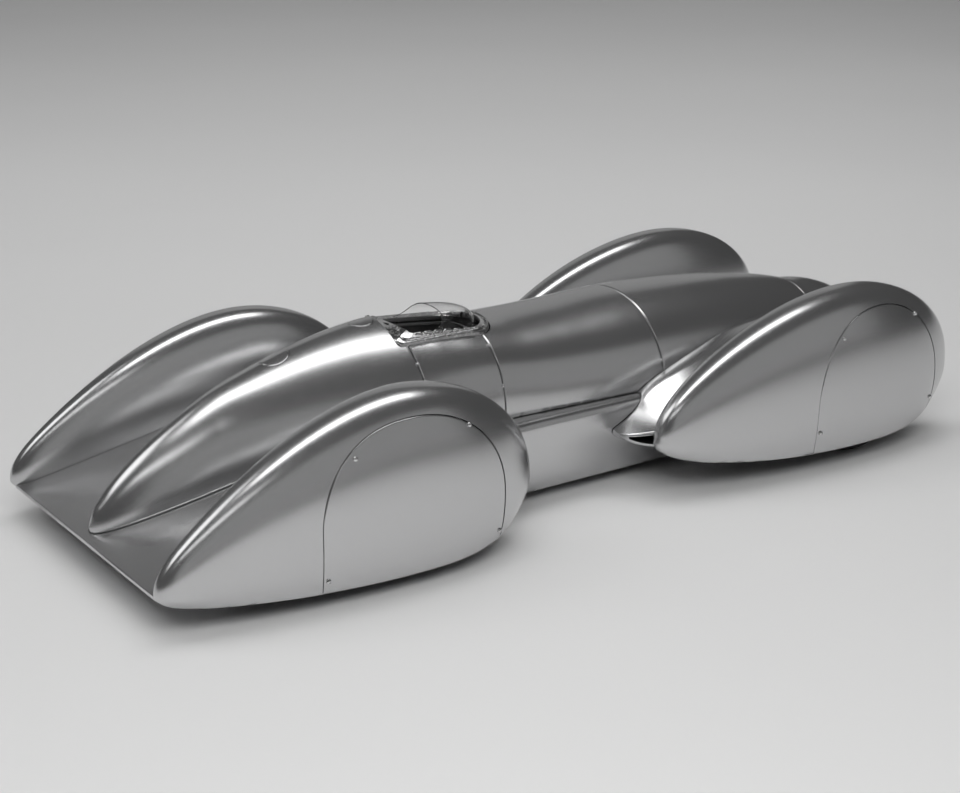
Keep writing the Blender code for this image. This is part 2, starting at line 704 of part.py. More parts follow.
def wing_levels(x):
    """Inner and outer half width, inner top, lip and underside heights of a front wing."""
    zi = smooth_table((97.4, 100.2, 102.5, 105.0, 108.0, 111.5, 120.0, 132.0, 142.0, 150.0, 158.0, 163.0, 166.0, 166.8),
                      (11.6, 13.1, 14.6, 17.0, 18.7, 20.0, 22.4, 25.0, 25.6, 24.2, 20.8, 17.2, 14.2, 13.1), x)
    zo = smooth_table((97.4, 100.2, 103.0, 106.0, 111.5, 120.0, 132.0, 142.0, 150.0, 158.0, 163.0, 166.0, 166.8),
                      (11.4, 11.9, 12.5, 13.6, 17.2, 21.2, 24.5, 25.2, 23.9, 20.5, 16.9, 13.9, 12.9), x)
    zb = smooth_table((97.4, 98.6, 100.2, 104.0, 110.0, 124.0, 148.0, 157.0, 163.0, 166.0, 166.8),
                      (10.9, 10.0, 9.5, 9.1, 8.0, 5.6, 5.6, 7.2, 9.8, 11.6, 12.2), x)
    yo = 21.2 + 7.4 * min((x - 97.4) / 7.5, 1.0) ** 0.62
    yi = 12.0 if x < 150 else 12.0 - 4.0 * smoothstep(150, 162, x)
    return yi, yo, zi, zo, zb


def wing_top(x, y):
    yi, yo, zi, zo, zb = wing_levels(x)
    q = min(max((yo - y) / (yo - 19.6), 0.0), 1.0)
    return zo + (zi - zo) * q ** 1.35


wing = []
for x in WING_X:
    yi, yo, zi, zo, zb = wing_levels(x)
    h = zo - zb
    k = min(1.0, h / 4.0)
    span = yo - 19.6
    wing.append([P(x, y, z) for y, z in (
        (yi, zb - 1.2 * k), (0.5 * (yi + yo), zb - 0.9 * k), (yo - 0.5 * k, zb), (yo, zb + 0.3 * h), (yo, zb + 0.72 * h),
        (yo - 0.12, zb + 0.9 * h), (yo - 0.4, zo), (yo - 0.35 * span, wing_top(x, yo - 0.35 * span)),
        (yo - 0.7 * span, wing_top(x, yo - 0.7 * span)), (19.6, zi), (yi, zi + 0.1))])
wing = loft("wing_left", wing, SILVER)
boolean(wing, hull_solid("c", 91.3, 169.1, 15, int(22 * RES), GAP, 9.0), "DIFFERENCE")
boolean(wing, lower_solid("c", stations[8:-1] + [168.0], GAP), "DIFFERENCE")
boolean(wing, fairing_solid("c", FAIR_FRONT, int(26 * RES), int(8 * RES), 2, grow=GAP, drop=-3.0),
        "DIFFERENCE")
# almond-shaped air outlet under the rear lip
slot = []
for x in (98.3, 98.8, 99.6, 100.8, 102.6, 105.0, 108.0, 110.0):
    yi, yo, zi, zo, zb = wing_levels(x)
    mid, half = 0.5 * (zo + zb) - 0.02, max((0.5 * (zo - zb) - 0.5) * (1.0 if x < 106 else (110.6 - x) / 4.6), 0.08)
    y_in = max(yo - 4.5, 20.7)
    slot.append([P(x, y, z) for y, z in ((y_in, mid - 0.6 * half), (y_in, mid + 0.6 * half), (yo - 1.0, mid + half),
                                         (yo + 3.0, mid + half), (yo + 3.0, mid - half), (yo - 1.0, mid - half))])
slot = loft("slot", slot)
boolean(wing, slot, "DIFFERENCE")
boolean(wing, bar("b", (AXLE_FRONT, 10, TYRE_R), (AXLE_FRONT, 34, TYRE_R), AXLE_R + 0.8, 12), "DIFFERENCE")
finish(wing)
mirror_y(wing, "wing_right", SILVER)

# ---- belly plate with the two axle blocks
plate = []
for x in spread(24.6, 154.4, 10):
    half, top, bot = lower_station(x)
    w = min(hull_station(x)[0] - 1.6, half * 0.86) - 0.25
    plate.append([P(x, y, z) for y, z in ((-w, FLOOR_Z + 0.3), (w, FLOOR_Z + 0.3), (w, FLOOR_Z + 1.2), (-w, FLOOR_Z + 1.2))])
plate = loft("belly_plate", plate, DARK)
finish(plate)
for word, ax in (("rear", AXLE_REAR), ("front", AXLE_FRONT)):
    blk = box("axle_block_" + word, ax - 3, ax + 3, -7, 7, FLOOR_Z + 1.22, TYRE_R + 2.6, DARK)
    boolean(blk, bar("b", (ax, -9, TYRE_R), (ax, 9, TYRE_R), AXLE_R + 0.12, 16), "DIFFERENCE")
    finish(blk)
for k, sx in enumerate((53.0, 127.0)):
    boolean(plate, bar("b", (sx, 0, 1), (sx, 0, 5), 1.25, 12), "DIFFERENCE")
    scr = lathe("base_screw_%d" % (k + 1), (sx, 0, 0), (0, 0, 1),
                [(0.0, 2.5), (1.0, 2.5), (1.05, 2.8), (0.75, 3.4), (0.75, 6.5), (0.0, 6.5)], 12, BRIGHT)
    finish(scr)
finish(plate)

# ---- running gear
for word, ax in (("rear", AXLE_REAR), ("front", AXLE_FRONT)):
    axle = bar("axle_" + word, (ax, -WHEEL_Y - 2.4, TYRE_R), (ax, WHEEL_Y + 2.4, TYRE_R), AXLE_R, 16, BRIGHT)
    finish(axle)
    set_origin(axle, (ax, 0, TYRE_R))
    for side, lr in ((1, "left"), (-1, "right")):
        hw = TYRE_W / 2
        tyre_prof = [(DISC_R + 0.3, -hw * 0.72), (TYRE_R - 1.9, -hw), (TYRE_R - 0.5, -hw * 0.78),
                     (TYRE_R, -hw * 0.35), (TYRE_R, hw * 0.35), (TYRE_R - 0.5, hw * 0.78), (TYRE_R - 1.9, hw),
                     (DISC_R + 0.3, hw * 0.72)]
        t = lathe("tyre_%s_%s" % (word, lr), (ax, side * WHEEL_Y, TYRE_R), (0, 1, 0), tyre_prof, int(27 * RES) + 1, RUBBER,
                  ring_shape=True, roll=0.0)
        finish(t)
        set_origin(t, (ax, side * WHEEL_Y, TYRE_R))
        d = DISC_R
        prof = [(AXLE_R + 0.06, -2.4), (2.3, -2.4), (d - 1.3, -0.2), (d - 1.1, -2.2), (d, -2.2), (d, 2.2),
                (d - 1.1, 2.2), (d - 1.4, 0.9), (2.6, 2.4), (AXLE_R + 0.06, 2.4)]
        prof = [(r, side * h) for r, h in prof]
        w = lathe("wheel_%s_%s" % (word, lr), (ax, side * WHEEL_Y, TYRE_R), (0, 1, 0), prof, 16, SILVER,
                  ring_shape=True)
        finish(w)
        set_origin(w, (ax, side * WHEEL_Y, TYRE_R))

# ---- cockpit tub, seat, dashboard, steering
tub_out = rim_outline(HOLE_X0 - 0.9, HOLE_X1 + 0.9, HOLE_HALF + 0.9, 1.6, 6.6)
tub_in = rim_outline(HOLE_X0 - 0.1, HOLE_X1 + 0.1, HOLE_HALF + 0.15, 1.2, 6.2)
tub = prism("cockpit_tub", tub_out, 5.2, 40.0, "z", DARK)
boolean(tub, hull_solid("c", 56.0, 84.0, int(10 * RES), int(22 * RES), -SKIN - 0.28, 2.0), "INTERSECT")
boolean(tub, prism("c", tub_in, 6.0, 45.0, "z"), "DIFFERENCE")
finish(tub)

seat_side = [(62.2, 6.4), (71.0, 6.4), (71.4, 8.4), (70.6, 9.4), (66.2, 8.9), (65.2, 9.8), (64.0, 20.0), (63.6, 25.6),
             (63.0, 26.6), (62.0, 26.3), (61.7, 24.0)]
seat = prism("seat", seat_side, -4.6, 4.6, "y", LEATHER)
finish(seat)

dash = prism("dashboard", [(x, y) for x, y in ((76.2, -5.6), (76.9, -5.6), (76.9, 5.6), (76.2, 5.6))], 20.0, 40.0,
             "z", DARK)
boolean(dash, hull_solid("c", 70.0, 84.0, 8, int(22 * RES), -SKIN - 0.75, 2.0), "INTERSECT")
boolean(dash, prism("c", rim_outline(HOLE_X0 + 0.1, HOLE_X1 - 0.1, HOLE_HALF - 0.1, 1.0, 6.0), 4, 50, "z"), "INTERSECT")
finish(dash)

COL_HEAD = (72.0, 0.0, 26.2)
COL_DIR = Vector((-0.93, 0.0, 0.37)).normalized()


def along(d):
    return (COL_HEAD[0] + COL_DIR.x * d, 0.0, COL_HEAD[2] + COL_DIR.z * d)


boolean(dash, bar("c", along(-0.5), along(-9.0), 0.62, 12), "DIFFERENCE")
finish(dash)
column = bar("steering_column", along(-0.75), along(-6.6), 0.45, 12, BRIGHT)
finish(column)
WHEEL_RAD = 4.1
prof = [(WHEEL_RAD + 0.32 * math.cos(2 * math.pi * i / 6), 0.32 * math.sin(2 * math.pi * i / 6)) for i in range(6)]
sw = lathe("steering_wheel", COL_HEAD, COL_DIR, prof, 18, DARK, ring_shape=True)
hub = lathe("hub", COL_HEAD, COL_DIR, [(0.0, -0.6), (0.9, -0.6), (0.9, 0.25), (0.0, 0.35)], 8)
boolean(sw, hub, "UNION")
u = COL_DIR.orthogonal().normalized()
v = COL_DIR.cross(u)
for k in range(4):
    t = math.pi / 4 + math.pi / 2 * k
    dvec = math.cos(t) * u + math.sin(t) * v
    e = [COL_HEAD[i] + dvec[i] * (WHEEL_RAD - 0.05) for i in range(3)]
    s0 = [COL_HEAD[i] + dvec[i] * 0.5 for i in range(3)]
    boolean(sw, bar("s", s0, e, 0.2, 5), "UNION")
finish(sw)
set_origin(sw, COL_HEAD)

# ---- windscreen: half dome with low side sweeps
SCREEN_HALF = 6.28
rings_o = []
nscr = int(14 * RES)
ns = int(16 * RES)
x_back, x_tip = 62.0, 78.3


def screen_arc(x, inset):
    s = max((x - 68.5) / (x_tip - inset - 68.5), 0.0)
    half = (SCREEN_HALF - inset) * max(1 - min(s, 1.0) ** 2.4, 0.0004) ** 0.42
    base = hull_z(x, half) - 0.6
    top = base + (SCREEN_TOP - 31.6 - inset) * max(1 - min(s, 1.0) ** 3.6, 0.0004) ** 0.5 + 0.8
    pts = []
    for i in range(ns + 1):
        a = math.pi * i / ns
        c, sn = math.cos(a), math.sin(a)
        pts.append((x, half * math.copysign(abs(c) ** (2 / 2.5), c), base + (top - base) * abs(sn) ** (2 / 2.2)))
    return pts


for i in range(nscr + 1):
    t = math.sin(math.pi / 2 * i / nscr)
    x = x_back + (x_tip - 0.4 - x_back) * t
    rings_o.append([P(*p) for p in screen_arc(x, 0.0)] + [P(*p) for p in screen_arc(x, 0.34)[::-1]])
screen = loft("windscreen", rings_o, CLEAR, 0.25)
sweep = [(55.0, 31.8), (61.0, 32.15), (64.5, 32.45), (66.8, 32.85), (68.2, 33.5), (69.0, 34.4), (69.5, 35.6), (69.7, 42.0),
         (55.0, 42.0)]
boolean(screen, prism("c", sweep, -12, 12, "y"), "DIFFERENCE")
finish(screen)

# ---- piano hinge along the right-hand rim
HINGE_Y = -RIM_HALF - 0.30
HINGE_Z = max(hull_z(x, RIM_HALF) for x in (60.0, 64.0, 68.0, 72.0)) + RIM_LIFT + 0.42
prof = [(0.0, 60.0)]
k = 0
x = 60.0
while x < 73.9:
    r = 0.34 if k % 2 == 0 else 0.24
    prof += [(r, x), (r, x + 1.18)]
    x += 1.2
    k += 1
prof.append((0.0, prof[-1][1]))
hinge = lathe("rim_hinge", (0, HINGE_Y, HINGE_Z), (1, 0, 0), prof, 6, BRIGHT)
finish(hinge)
for ob in (rim, screen, hinge):
    set_origin(ob, (67.0, HINGE_Y, HINGE_Z))
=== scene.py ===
"""Looks of the streamlined record car, 1:18 display model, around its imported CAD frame."""

import math

import bmesh
import bpy
import numpy as np
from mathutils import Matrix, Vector
from mathutils.bvhtree import BVHTree
from mathutils.interpolate import poly_3d_calc


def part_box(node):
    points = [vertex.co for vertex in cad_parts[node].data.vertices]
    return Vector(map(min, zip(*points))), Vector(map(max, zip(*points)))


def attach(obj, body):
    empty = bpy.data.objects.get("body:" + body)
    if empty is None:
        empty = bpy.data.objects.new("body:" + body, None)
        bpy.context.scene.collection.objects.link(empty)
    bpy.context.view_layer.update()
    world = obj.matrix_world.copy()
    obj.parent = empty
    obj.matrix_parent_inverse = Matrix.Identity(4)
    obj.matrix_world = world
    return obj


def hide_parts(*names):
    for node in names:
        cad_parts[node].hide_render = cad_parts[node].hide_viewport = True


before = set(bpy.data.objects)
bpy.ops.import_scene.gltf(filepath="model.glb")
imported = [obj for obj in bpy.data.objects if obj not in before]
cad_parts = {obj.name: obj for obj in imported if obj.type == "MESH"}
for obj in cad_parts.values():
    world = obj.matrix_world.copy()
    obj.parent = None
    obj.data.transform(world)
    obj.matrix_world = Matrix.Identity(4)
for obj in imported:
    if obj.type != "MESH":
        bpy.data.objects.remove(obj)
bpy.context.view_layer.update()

# ----------------------------------------------------------------- dimensions
# (layout grid of the car: stations forward from the tail edge, heights from the ground)
MODULE = 0.00155          # m, layout grid of the model
X_MID = 90.49             # station that sits over the origin
GAP = 0.16                # panel gap, modules (0.25 mm)
SKIN = 1.0                # body shell thickness, modules

# wheels
AXLE_REAR = 43.0
AXLE_FRONT = 150.0
WHEEL_Y = 29.0
TYRE_R = 14.6
TYRE_W = 6.4
DISC_R = 10.2
AXLE_R = 1.0

# wheel fairings: teardrops with the round end forward
FAIR_REAR = dict(tail=-0.6, crown=44.4, nose=70.9, top=32.5, z_tail=7.4, z_nose=12.0,
                 belly=2.5, belly_rise=2.7, p_tail=1.80, q_tail=1.013,
                 w_out=9.2, w_in=7.2, pw=1.75, qw=1.20, yc=28.2, toe=1.8, butt_z=3.2, butt_w=2.4)
FAIR_FRONT = dict(tail=100.4, crown=147.3, nose=176.8, top=33.9, z_tail=11.0, z_nose=14.0,
                  belly=3.5, belly_rise=4.2, p_tail=1.80, q_tail=0.796,
                  w_out=8.8, w_in=7.2, pw=2.0, qw=0.92, yc=28.2, toe=0.0, butt_z=3.0, butt_w=2.4)
# wheel covers: round-headed panels standing on the fairing edge
COVER_REAR = (43.5, 17.9, 29.0)      # centre station, half width, crown height
COVER_FRONT = (151.2, 17.3, 30.4)
COVER_SHOULDER = 12.5

# fuselage stations
SEAM_1 = 59.6
SEAM_2 = 75.4
SEAM_3 = 111.5
SEAM_N = 158.5
NOSE_END = 181.6
SPINE_TIP = 1.6
SHELF_Z = 17.0            # height of the side ledge
DECK_EDGE = 6.9           # deck height at the trailing edge
DECK_SLOPE = 0.285
BODY_HALF = 19.6          # half width of the lower body
FLOOR_Z = 2.2

# cockpit
RIM_X0, RIM_X1 = 57.7, 80.2
RIM_HALF = 8.3
HOLE_X0, HOLE_X1 = 61.2, 78.9
HOLE_HALF = 6.5
RIM_LIFT = 0.30
SCREEN_TOP = 34.6


def P(x, y, z):
    """Layout grid to metres."""
    return ((x - X_MID) * MODULE, y * MODULE, z * MODULE)


def smooth_table(xs, vs, x):
    """Monotone cubic through the control stations."""
    xs = np.asarray(xs, float)
    vs = np.asarray(vs, float)
    h = np.diff(xs)
    d = np.diff(vs) / h
    m = np.zeros(len(xs))
    m[0], m[-1] = d[0], d[-1]
    for i in range(1, len(xs) - 1):
        if d[i - 1] * d[i] > 0:
            w1, w2 = 2 * h[i] + h[i - 1], h[i] + 2 * h[i - 1]
            m[i] = (w1 + w2) / (w1 / d[i - 1] + w2 / d[i])
    x = float(min(max(x, xs[0]), xs[-1]))
    i = int(min(max(np.searchsorted(xs, x) - 1, 0), len(xs) - 2))
    t = (x - xs[i]) / h[i]
    return ((1 + 2 * t) * (1 - t) ** 2 * vs[i] + t * (1 - t) ** 2 * h[i] * m[i]
            + t * t * (3 - 2 * t) * vs[i + 1] + t * t * (t - 1) * h[i] * m[i + 1])


def smoothstep(a, b, x):
    t = min(max((x - a) / (b - a), 0.0), 1.0)
    return t * t * (3 - 2 * t)


# ------------------------------------------------------------ fairing surface
def fairing_station(F, x):
    """Centre line, half widths, crown, belly and widest height at a station."""
    if x < F["crown"]:
        s = min((F["crown"] - x) / (F["crown"] - F["tail"]), 1.0)
        f_top = (1 - s ** F["p_tail"]) ** F["q_tail"]
        f_bot = (1 - s ** 16) ** 0.5
        butt = (1 - s ** 26) ** 0.5
        g = (1 - s ** F["pw"]) ** F["qw"]
        line = F["belly"] + F["belly_rise"] * s ** 2.0
        z_end = F["z_tail"]
        toe = F["toe"] * s ** 1.4
    else:
        s = min((x - F["crown"]) / (F["nose"] - F["crown"]), 1.0)
        f_top = (1 - s ** 2.05) ** 0.5
        f_bot = (1 - s ** 3.0) ** 0.5
        butt = 0.0
        g = (1 - s ** 2.3) ** 0.52
        line = F["belly"]
        z_end = F["z_nose"]
        toe = 0.0
    lift = F["butt_z"] if x < F["crown"] else 0.0
    top = z_end + lift * butt + (F["top"] - z_end - lift) * f_top
    bot = z_end - (z_end - line) * f_bot
    mid = bot + 0.36 * (top - bot)
    tuck = 0.10 + 0.45 * (s ** 3 if x > F["crown"] else s ** 6)
    wo, wi = F["w_out"] * g, F["w_in"] * g
    if x < F["crown"]:
        wb = F["butt_w"]
        wo, wi = wb * butt + (F["w_out"] - wb) * g, 0.9 * wb * butt + (F["w_in"] - 0.9 * wb) * g
    return (F["yc"] + toe, wo, wi, top, bot, mid, tuck)


def fairing_ring(F, x, n_up, n_dn, grow=0.0, drop=None):
    """Closed section ring, outer belly edge -> crown -> inner belly edge.

    With drop, both side walls run straight down from the belly line to that height.
    """
    yc, wo, wi, top, bot, mid, tuck = fairing_station(F, x)
    wo = max(wo + grow, 0.02)
    wi = max(wi + grow, 0.02)
    top += grow
    if grow > 0:
        bot -= grow
    pts = []
    for side, w in ((1, wo), (-1, wi)):
        seq = []
        if drop is not None:
            seq.append((yc + side * w * (1 - tuck), drop))
        for i in range(n_dn):
            u = 1 - i / n_dn
            z = mid - (mid - bot) * u
            seq.append((yc + side * w * (1 - tuck * u ** 2.2), z))
        for i in range(n_up + 1):
            a = math.pi / 2 * i / n_up
            ey = max(math.cos(a), 0.0) ** (2 / 2.45)
            ez = max(math.sin(a), 0.0) ** (2 / 2.15)
            seq.append((yc + side * w * ey, mid + (top - mid) * ez))
        if side == 1:
            pts += seq
        else:
            pts += seq[:-1][::-1]
    return [(x, y, z) for y, z in pts]


def fairing_solid(name, F, nx, n_up, n_dn, grow=0.0, look=None, x0=None, x1=None, drop=None):
    a = F["tail"] - grow if x0 is None else x0
    b = F["nose"] + grow if x1 is None else x1
    rings = []
    for i in range(nx + 1):
        t = 0.5 - 0.5 * math.cos(math.pi * i / nx)
        t = 0.86 * t + 0.14 * i / nx
        x = a + (b - a) * t
        xe = min(max(x, F["tail"] + 0.05), F["nose"] - 0.04)
        ring = fairing_ring(F, xe, n_up, n_dn, grow, drop)
        rings.append([P(x, y, z) for _, y, z in ring])
    return loft(name, rings, look)


def cover_outline(cover, shrink=0.0, n=24, floor=-2.0):
    """Round-headed outline of a wheel cover in the x-z plane."""
    xc, half, crown = cover
    a = half - shrink
    b = crown - COVER_SHOULDER - shrink
    pts = [(xc - a, floor), (xc + a, floor)]
    for i in range(n + 1):
        t = math.pi * i / n
        pts.append((xc + a * math.copysign(abs(math.cos(t)) ** (2 / 2.15), math.cos(t)),
                    COVER_SHOULDER + b * max(math.sin(t), 0.0) ** (2 / 2.15)))
    return pts


TOP_X = (1.6, 2.6, 4.0, 6.0, 10.0, 14.0, 18.0, 22.0, 26.0, 31.0, 36.0, 42.0, 48.0, 54.0,
         58.0, 64.0, 70.0, 76.0, 84.0, 96.0, 112.0, 124.0, 136.0, 146.0, 154.0, 162.0, 170.0)
TOP_Z = (8.0, 10.4, 12.2, 14.4, 17.9, 20.8, 23.3, 25.6, 27.6, 29.4, 31.0, 32.7, 34.0, 34.9,
         35.2, 34.6, 33.5, 32.5, 31.9, 32.1, 32.7, 32.5, 31.6, 30.2, 28.7, 26.6, 23.8)
NOSE_HALF = 11.2          # half width of the hull where the nose ellipsoid starts
NOSE_Z = 13.5


def deck_z(x):
    z = DECK_EDGE + DECK_SLOPE * x
    return z if z < SHELF_Z - 2 else SHELF_Z - 2 + 2 * (1 - math.exp(-(z - SHELF_Z + 2) / 2))


def hull_station(x):
    """Half width, crest height, waist height and section exponent."""
    tab = smooth_table((24.0, 36.0, 48.0, 58.0, 66.0, 76.0, 90.0, 112.0, 128.0, 142.0, 152.0, 160.0),
                       (8.85, 12.0, 15.2, 17.1, 16.6, 16.0, 16.6, 17.5, 17.2, 15.9, 14.1, 12.3), x)
    if x < 24:
        half = 1.86 * max(x - SPINE_TIP, 0.0) ** 0.5 + 0.02
    elif x <= 160:
        half = tab
    else:
        s = (x - 160.0) / (NOSE_END - 160.0)
        half = 12.3 * max(1 - s ** 1.9, 0.0) ** 0.55
    if x <= 160:
        crest = smooth_table(TOP_X, TOP_Z, x)
    else:
        s = (x - 160.0) / (NOSE_END - 160.0)
        crest = NOSE_Z + (smooth_table(TOP_X, TOP_Z, 160.0) - NOSE_Z) * max(1 - s ** 1.75, 0.0) ** 0.55
    if x < 150:
        waist = deck_z(x) - 0.0
    else:
        waist = SHELF_Z + (NOSE_Z - SHELF_Z) * smoothstep(150, 165, x)
    expo = smooth_table((0.0, 10.0, 30.0, 58.0, 66.0, 76.0, 92.0, 112.0, 182.0),
                        (2.0, 1.85, 1.72, 1.68, 1.95, 2.35, 2.15, 2.0, 2.0), x)
    return half, crest, waist, expo


def hull_arc(x, n, inset=0.0, foot=0.0):
    """Open arc over the hull from the left waist to the right waist."""
    half, crest, waist, expo = hull_station(x)
    half = max(half - inset, 0.03)
    rise = max(crest - inset - waist, 0.05)
    pts = []
    for i in range(n + 1):
        a = math.pi * i / n
        c, s = math.cos(a), math.sin(a)
        y = half * math.copysign(abs(c) ** (2 / expo), c)
        z = waist + rise * abs(s) ** (2 / expo)
        pts.append((x, y, z))
    if foot:
        pts[0] = (x, pts[0][1], waist + foot)
        pts[-1] = (x, pts[-1][1], waist + foot)
    return pts


def hull_z(x, y):
    half, crest, waist, expo = hull_station(x)
    u = min(abs(y) / half, 1.0)
    return waist + (crest - waist) * (1 - u ** expo) ** (1 / expo)


def rim_outline(x0, x1, half, corner, nose, n=10):
    """Cockpit outline in plan: square rear with small corners, round front."""
    pts = []
    for k in range(n // 2 + 1):
        a = math.pi / 2 * k / (n // 2)
        pts.append((x0 + corner - corner * math.sin(a), -half + corner - corner * math.cos(a)))
    rear_right = pts
    rear_left = [(px, -py) for px, py in pts[::-1]]
    front = []
    xs = x1 - nose
    for k in range(2 * n + 1):
        a = math.pi / 2 - math.pi * k / (2 * n)
        front.append((xs + nose * abs(math.cos(a)) ** (2 / 2.3), half * math.copysign(abs(math.sin(a)) ** (2 / 2.3), math.sin(a))))
    return rear_right + rear_left + front



def lower_station(x):
    """Half width, top height and underside height of the lower body."""
    half = smooth_table((0.0, 20.0, 45.0, 56.0, 64.0, 72.0, 82.0, 122.0, 136.0, 146.0, 154.0, 159.0),
                        (30.1, 29.0, 28.0, 27.4, 23.5, 20.2, 19.6, 19.6, 18.6, 16.8, 14.6, 13.2), x)
    top = (deck_z(x) if x < 150 else hull_station(x)[2]) - GAP
    bot = FLOOR_Z + (DECK_EDGE - 0.75 - FLOOR_Z) * (1 - smoothstep(0.0, 30.0, x)) if x < 30 else FLOOR_Z
    bot += 1.6 * smoothstep(140, 159, x)
    return half, top, bot


def lower_ring(x, grow=0.0):
    """Closed section of the lower body: flat shelf, rounded ledge, tucked side."""
    half, top, bot = lower_station(x)
    half += grow
    top += grow
    bot -= grow
    k = smoothstep(56.0, 74.0, x)
    h = top - bot
    foot = half * (1 - 0.125 * k)
    r = (0.15 + 1.7 * k) * min(1.0, h / 6.0)
    right = [(0.0, bot), (foot * 0.55, bot), (foot - 0.02, bot)]
    for u in (0.22, 0.45, 0.68):
        z = bot + (h - r) * u
        right.append((foot + (half - foot) * (1 - (1 - u) ** 2.0), z))
    for i in range(5):
        a = math.pi / 2 * i / 4
        right.append((half - r * 0.85 + r * 0.85 * math.cos(a), top - r + r * math.sin(a)))
    right.append((half * 0.45, top))
    right.append((0.0, top))
    left = [(-y, z) for y, z in right[1:-1]]
    return [(x, y, z) for y, z in right + left[::-1]]


def fairing_face_y(F, x, z):
    """Outer face of a fairing at a station and height."""
    yc, wo, wi, top, bot, mid, tuck = fairing_station(F, x)
    if z < mid:
        u = (mid - z) / (mid - bot)
        return yc + wo * (1 - tuck * u ** 2.2)
    s = min((z - mid) / (top - mid), 1.0)
    a = math.asin(s ** (2.15 / 2))
    return yc + wo * math.cos(a) ** (2 / 2.45)


def wing_levels(x):
    """Inner and outer half width, inner top, lip and underside heights of a front wing."""
    zi = smooth_table((97.4, 100.2, 102.5, 105.0, 108.0, 111.5, 120.0, 132.0, 142.0, 150.0, 158.0, 163.0, 166.0, 166.8),
                      (11.6, 13.1, 14.6, 17.0, 18.7, 20.0, 22.4, 25.0, 25.6, 24.2, 20.8, 17.2, 14.2, 13.1), x)
    zo = smooth_table((97.4, 100.2, 103.0, 106.0, 111.5, 120.0, 132.0, 142.0, 150.0, 158.0, 163.0, 166.0, 166.8),
                      (11.4, 11.9, 12.5, 13.6, 17.2, 21.2, 24.5, 25.2, 23.9, 20.5, 16.9, 13.9, 12.9), x)
    zb = smooth_table((97.4, 98.6, 100.2, 104.0, 110.0, 124.0, 148.0, 157.0, 163.0, 166.0, 166.8),
                      (10.9, 10.0, 9.5, 9.1, 8.0, 5.6, 5.6, 7.2, 9.8, 11.6, 12.2), x)
    yo = 21.2 + 7.4 * min((x - 97.4) / 7.5, 1.0) ** 0.62
    yi = 12.0 if x < 150 else 12.0 - 4.0 * smoothstep(150, 162, x)
    return yi, yo, zi, zo, zb


def wing_top(x, y):
    yi, yo, zi, zo, zb = wing_levels(x)
    q = min(max((yo - y) / (yo - 19.6), 0.0), 1.0)
    return zo + (zi - zo) * q ** 1.35


# -------------------------------------------------------------- mesh helpers
def link(name, me):
    ob = bpy.data.objects.new(name, me)
    bpy.context.scene.collection.objects.link(ob)
    return ob


def mesh_object(name, verts, faces):
    me = bpy.data.meshes.new(name)
    me.from_pydata([tuple(v) for v in verts], [], [tuple(f) for f in faces])
    bm = bmesh.new()
    bm.from_mesh(me)
    bmesh.ops.remove_doubles(bm, verts=bm.verts, dist=1e-6)
    bmesh.ops.dissolve_degenerate(bm, edges=bm.edges, dist=5e-7)
    bmesh.ops.recalc_face_normals(bm, faces=bm.faces)
    bm.to_mesh(me)
    bm.free()
    return link(name, me)


def loft(name, rings, caps=True, closed=True):
    """Skin rings of equal count."""
    n = len(rings[0])
    verts = [p for r in rings for p in r]
    faces = []
    for i in range(len(rings) - 1):
        for j in range(n if closed else n - 1):
            k = (j + 1) % n
            faces.append((i * n + j, i * n + k, (i + 1) * n + k, (i + 1) * n + j))
    if caps:
        faces.append(tuple(range(n - 1, -1, -1)))
        last = (len(rings) - 1) * n
        faces.append(tuple(last + j for j in range(n)))
    return mesh_object(name, verts, faces)


def prism(name, outline, lo, hi, axis):
    if axis == "y":
        rings = [[P(a, v, b) for a, b in outline] for v in (lo, hi)]
    else:
        rings = [[P(a, b, v) for a, b in outline] for v in (lo, hi)]
    return loft(name, rings)


def triangulate(ob):
    bm = bmesh.new()
    bm.from_mesh(ob.data)
    bmesh.ops.triangulate(bm, faces=[f for f in bm.faces if len(f.verts) > 3])
    bm.to_mesh(ob.data)
    bm.free()


def drop_object(ob):
    me = ob.data
    bpy.data.objects.remove(ob, do_unlink=True)
    bpy.data.meshes.remove(me)


def boolean(ob, cutter, op, keep=False):
    triangulate(ob)
    triangulate(cutter)
    m = ob.modifiers.new("b", "BOOLEAN")
    m.operation = op
    m.solver = "EXACT"
    m.object = cutter
    bpy.context.view_layer.update()
    me = bpy.data.meshes.new_from_object(ob.evaluated_get(bpy.context.evaluated_depsgraph_get()))
    ob.modifiers.clear()
    old = ob.data
    ob.data = me
    me.materials.clear()
    bpy.data.meshes.remove(old)
    me.name = ob.name
    if not keep:
        drop_object(cutter)
    return ob


def clone(ob, name):
    me = ob.data.copy()
    me.name = name
    return link(name, me)


def mirror_y(ob, name):
    me = ob.data.copy()
    me.name = name
    for v in me.vertices:
        v.co.y = -v.co.y
    me.flip_normals()
    return link(name, me)


class Skin:
    """An uncut smooth surface whose normals a cut panel takes over."""

    def __init__(self, ob):
        me = ob.data
        me.update()
        me.calc_loop_triangles()
        self.v = [v.co.copy() for v in me.vertices]
        self.n = [Vector(v.vector) for v in me.vertex_normals]
        self.t = [tuple(t.vertices) for t in me.loop_triangles]
        self.bvh = BVHTree.FromPolygons(self.v, self.t)

    def normal(self, co, face_normal):
        loc, nor, idx, dist = self.bvh.find_nearest(co, 4e-5)
        if loc is None or nor.dot(face_normal) < 0.80:
            return None
        tri = self.t[idx]
        w = poly_3d_calc([self.v[i] for i in tri], loc)
        n = Vector()
        for i, wi in zip(tri, w):
            n += self.n[i] * wi
        return n.normalized()


